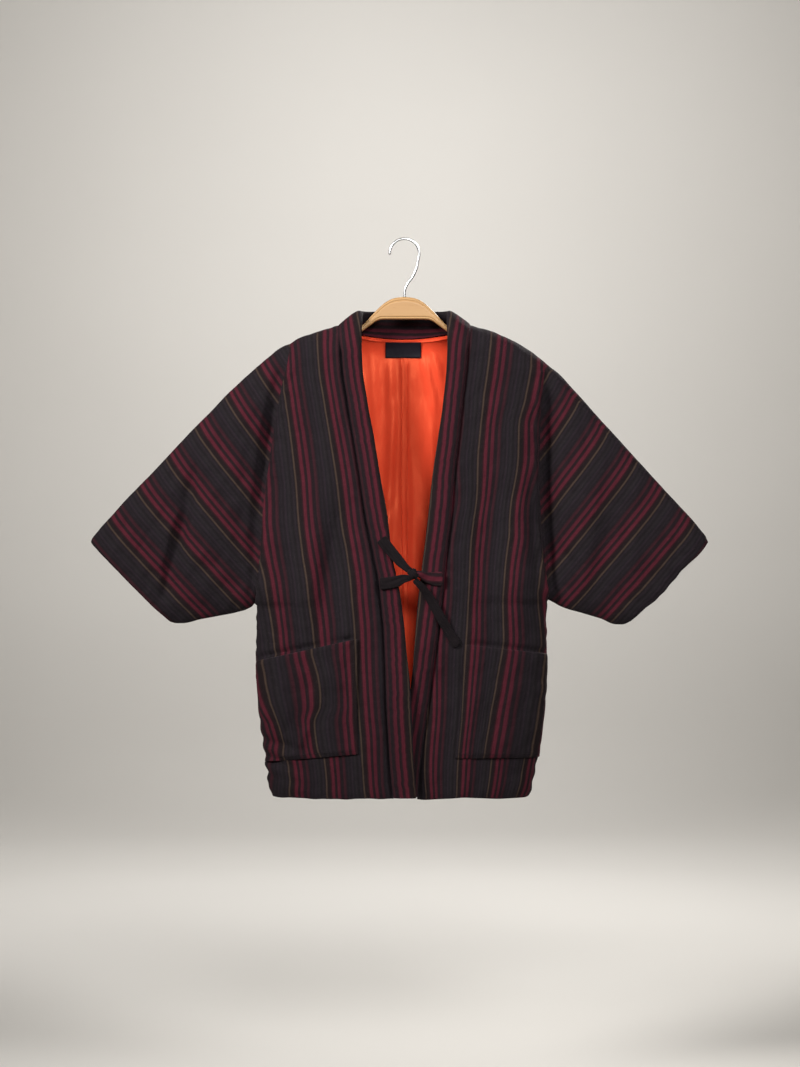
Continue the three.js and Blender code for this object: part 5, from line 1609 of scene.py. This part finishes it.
def stitch_row(line, facing, pitch):
    """Places, headings and facings of stitches a pitch apart along a line of points."""
    line, facing = np.asarray(line), np.asarray(facing)
    run = run_along(line)
    places = np.arange(pitch / 2, run[-1], pitch)

    def at(where, values):
        return np.stack([np.interp(where, run, values[:, k]) for k in range(3)], -1)

    heading = unit(at(places + 0.5, line) - at(places - 0.5, line))
    return at(places, line), heading, unit(at(places, facing))


def stitches_object(name, rows, length, thickness, seed, material):
    at = np.concatenate([row[0] for row in rows])
    mesh = bpy.data.meshes.new(name)
    mesh.from_pydata((at * 0.001).tolist(), [], [])
    for attribute, column in (("heading", 1), ("facing", 2)):
        values = np.concatenate([row[column] for row in rows])
        layer = mesh.attributes.new(attribute, "FLOAT_VECTOR", "POINT")
        layer.data.foreach_set("vector", values.ravel())
    points = bpy.data.objects.new(name + "_points", mesh)
    bpy.context.scene.collection.objects.link(points)
    modifier = points.modifiers.new("stitches", "NODES")
    modifier.node_group = STITCHES
    settings = {"Length": length, "Thickness": thickness, "Seed": seed, "Material": material}
    for item in STITCHES.interface.items_tree:
        if item.in_out == "INPUT" and item.name in settings:
            modifier[item.identifier] = settings[item.name]
    evaluated = points.evaluated_get(bpy.context.evaluated_depsgraph_get())
    baked = bpy.data.meshes.new_from_object(evaluated)
    baked.polygons.foreach_set("use_smooth", [True] * len(baked.polygons))
    points.modifiers.remove(modifier)
    bpy.data.objects.remove(points)
    made = bpy.data.objects.new(name, baked)
    bpy.context.scene.collection.objects.link(made)
    return made


stitch_rows = []
for side in SIDES:
    outer, normals = pocket_faces[side]
    for line, facing in ((outer[2:-3, -4], normals[2:-3, -4]), (outer[-4, 3:-3], normals[-4, 3:-3])):
        stitch_rows.append(stitch_row(line + facing * 0.15, facing, 4.2))
pocket_stitches = stitches_object("pocket_stitches", stitch_rows, 0.0028, 0.0007, 3, THREAD)

label_rows = []
facing = np.tile([0, -1.0, 0], (60, 1))
for line in (label_front[1, 1:-1], label_front[-2, 1:-1], label_front[1:-1, 1], label_front[1:-1, -2]):
    label_rows.append(stitch_row(line + [0, -0.12, 0], facing[:len(line)], 2.1))
label_stitches = stitches_object("label_stitches", label_rows, 0.0014, 0.0004, 4, THREAD)

# Floor, light and world
FLOOR_Z = -1400


def studio_floor():
    """Round floor that sweeps up into a wall; (radius, rise) in metres from the middle out."""
    profile = [(0, 0), (3.4, 0), (4, 0.03), (4.5, 0.12), (5, 0.3), (5.4, 0.56), (5.7, 0.9), (5.9, 1.4),
               (6, 2.1), (6, 6)]
    turns = 96
    points, faces = [(0, 0, FLOOR_Z)], []
    for radius, rise in profile[1:]:
        for k in range(turns):
            a = 2 * math.pi * k / turns
            out = 1000 * radius
            points.append((out * math.cos(a), out * math.sin(a), FLOOR_Z + 1000 * rise))
    for k in range(turns):
        faces.append((0, 1 + k, 1 + (k + 1) % turns))
        for ring in range(len(profile) - 2):
            a, b = 1 + ring * turns + k, 1 + ring * turns + (k + 1) % turns
            faces.append((a, a + turns, b + turns, b))
    return make_object("studio_floor", points, faces, materials=[pale_paint()])


studio_floor()


def area_light(name, place, target, size, power, colour, spread=180):
    data = bpy.data.lights.new(name, "AREA")
    data.shape, data.size, data.energy, data.color = "DISK", size, power, colour
    data.spread = math.radians(spread)
    made = bpy.data.objects.new(name, data)
    made.location = place
    aim = np.array(target) - np.array(place)
    flat = math.hypot(aim[0], aim[1])
    made.rotation_euler = (math.atan2(flat, -aim[2]), 0, math.atan2(aim[1], aim[0]) - math.pi / 2)
    bpy.context.scene.collection.objects.link(made)


area_light("key", (-2.7, -2.5, 1.45), (0, 0, -0.25), 1.4, 13.2, (1.0, 0.98, 0.95), spread=34)
area_light("second", (2.6, -2.6, 1.5), (0, 0, -0.25), 1.4, 4.7, (1.0, 0.99, 0.97), spread=34)
area_light("front", (0.5, -4.5, 1.3), (0, 0, -0.25), 1.2, 6.6, (1.0, 0.99, 0.98), spread=35)
area_light("back", (1.7, 3.3, 1.6), (0, 0, -0.4), 1.2, 9, (1.0, 0.99, 0.97), spread=45)
area_light("floor", (0, 2.9, 2.4), (0, 2.7, -1.4), 1.4, 19, (1.0, 0.99, 0.98), spread=72)
area_light("wall", (0, 3.2, 1.3), (0, 6, 0.7), 0.9, 28, (1.0, 0.99, 0.98), spread=120)
world = bpy.data.worlds.new("studio")
world.use_nodes = True
world.node_tree.nodes["Background"].inputs["Color"].default_value = (*linear((228, 226, 222)), 1)
world.node_tree.nodes["Background"].inputs["Strength"].default_value = 0.3
bpy.context.scene.world = world
bpy.context.scene.view_settings.view_transform = "Standard"

# What each piece stands for, and how it was cut
SHEETS = {
    "body_right": (body_objects["right"], (0.25, 1.5), 0.33),
    "body_left": (body_objects["left"], (0.25, 1.5), 0.325),
    "sleeve_right": (sleeve_objects["right"], (0.44, 0.8), 0.175),
    "sleeve_left": (sleeve_objects["left"], (0.4, 0.8), 0.158),
    "collar": (collar_object, (0.044, 1.72), None),
    "lining_right": (lining_objects["right"], (0.235, 0.74), None),
    "lining_left": (lining_objects["left"], (0.235, 0.74), None),
    "pocket_right": (pocket_objects["right"], (0.175, 0.172), None),
    "pocket_left": (pocket_objects["left"], (0.165, 0.165), None),
    "label": (label_object, (0.057, 0.024), None),
    "tie_right": (tie_objects["tie_right"], (0.019, 0.056), None),
    "tie_left": (tie_objects["tie_left"], (0.022, 0.046), None),
    "tie_end_upper": (tie_objects["tie_end_upper"], (0.02, 0.072), None),
    "tie_end_lower": (tie_objects["tie_end_lower"], (0.015, 0.142), None),
}
for node, (piece, flat, area) in SHEETS.items():
    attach(piece, "root")
    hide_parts(node)
for node, piece in (("knot", knot_object), ("hanger", hanger_object), ("hook", hook_object)):
    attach(piece, "root")
    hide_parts(node)
for piece, slot in ((pocket_stitches, "striped_cloth"), (label_stitches, "label_cloth")):
    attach(piece, "root")
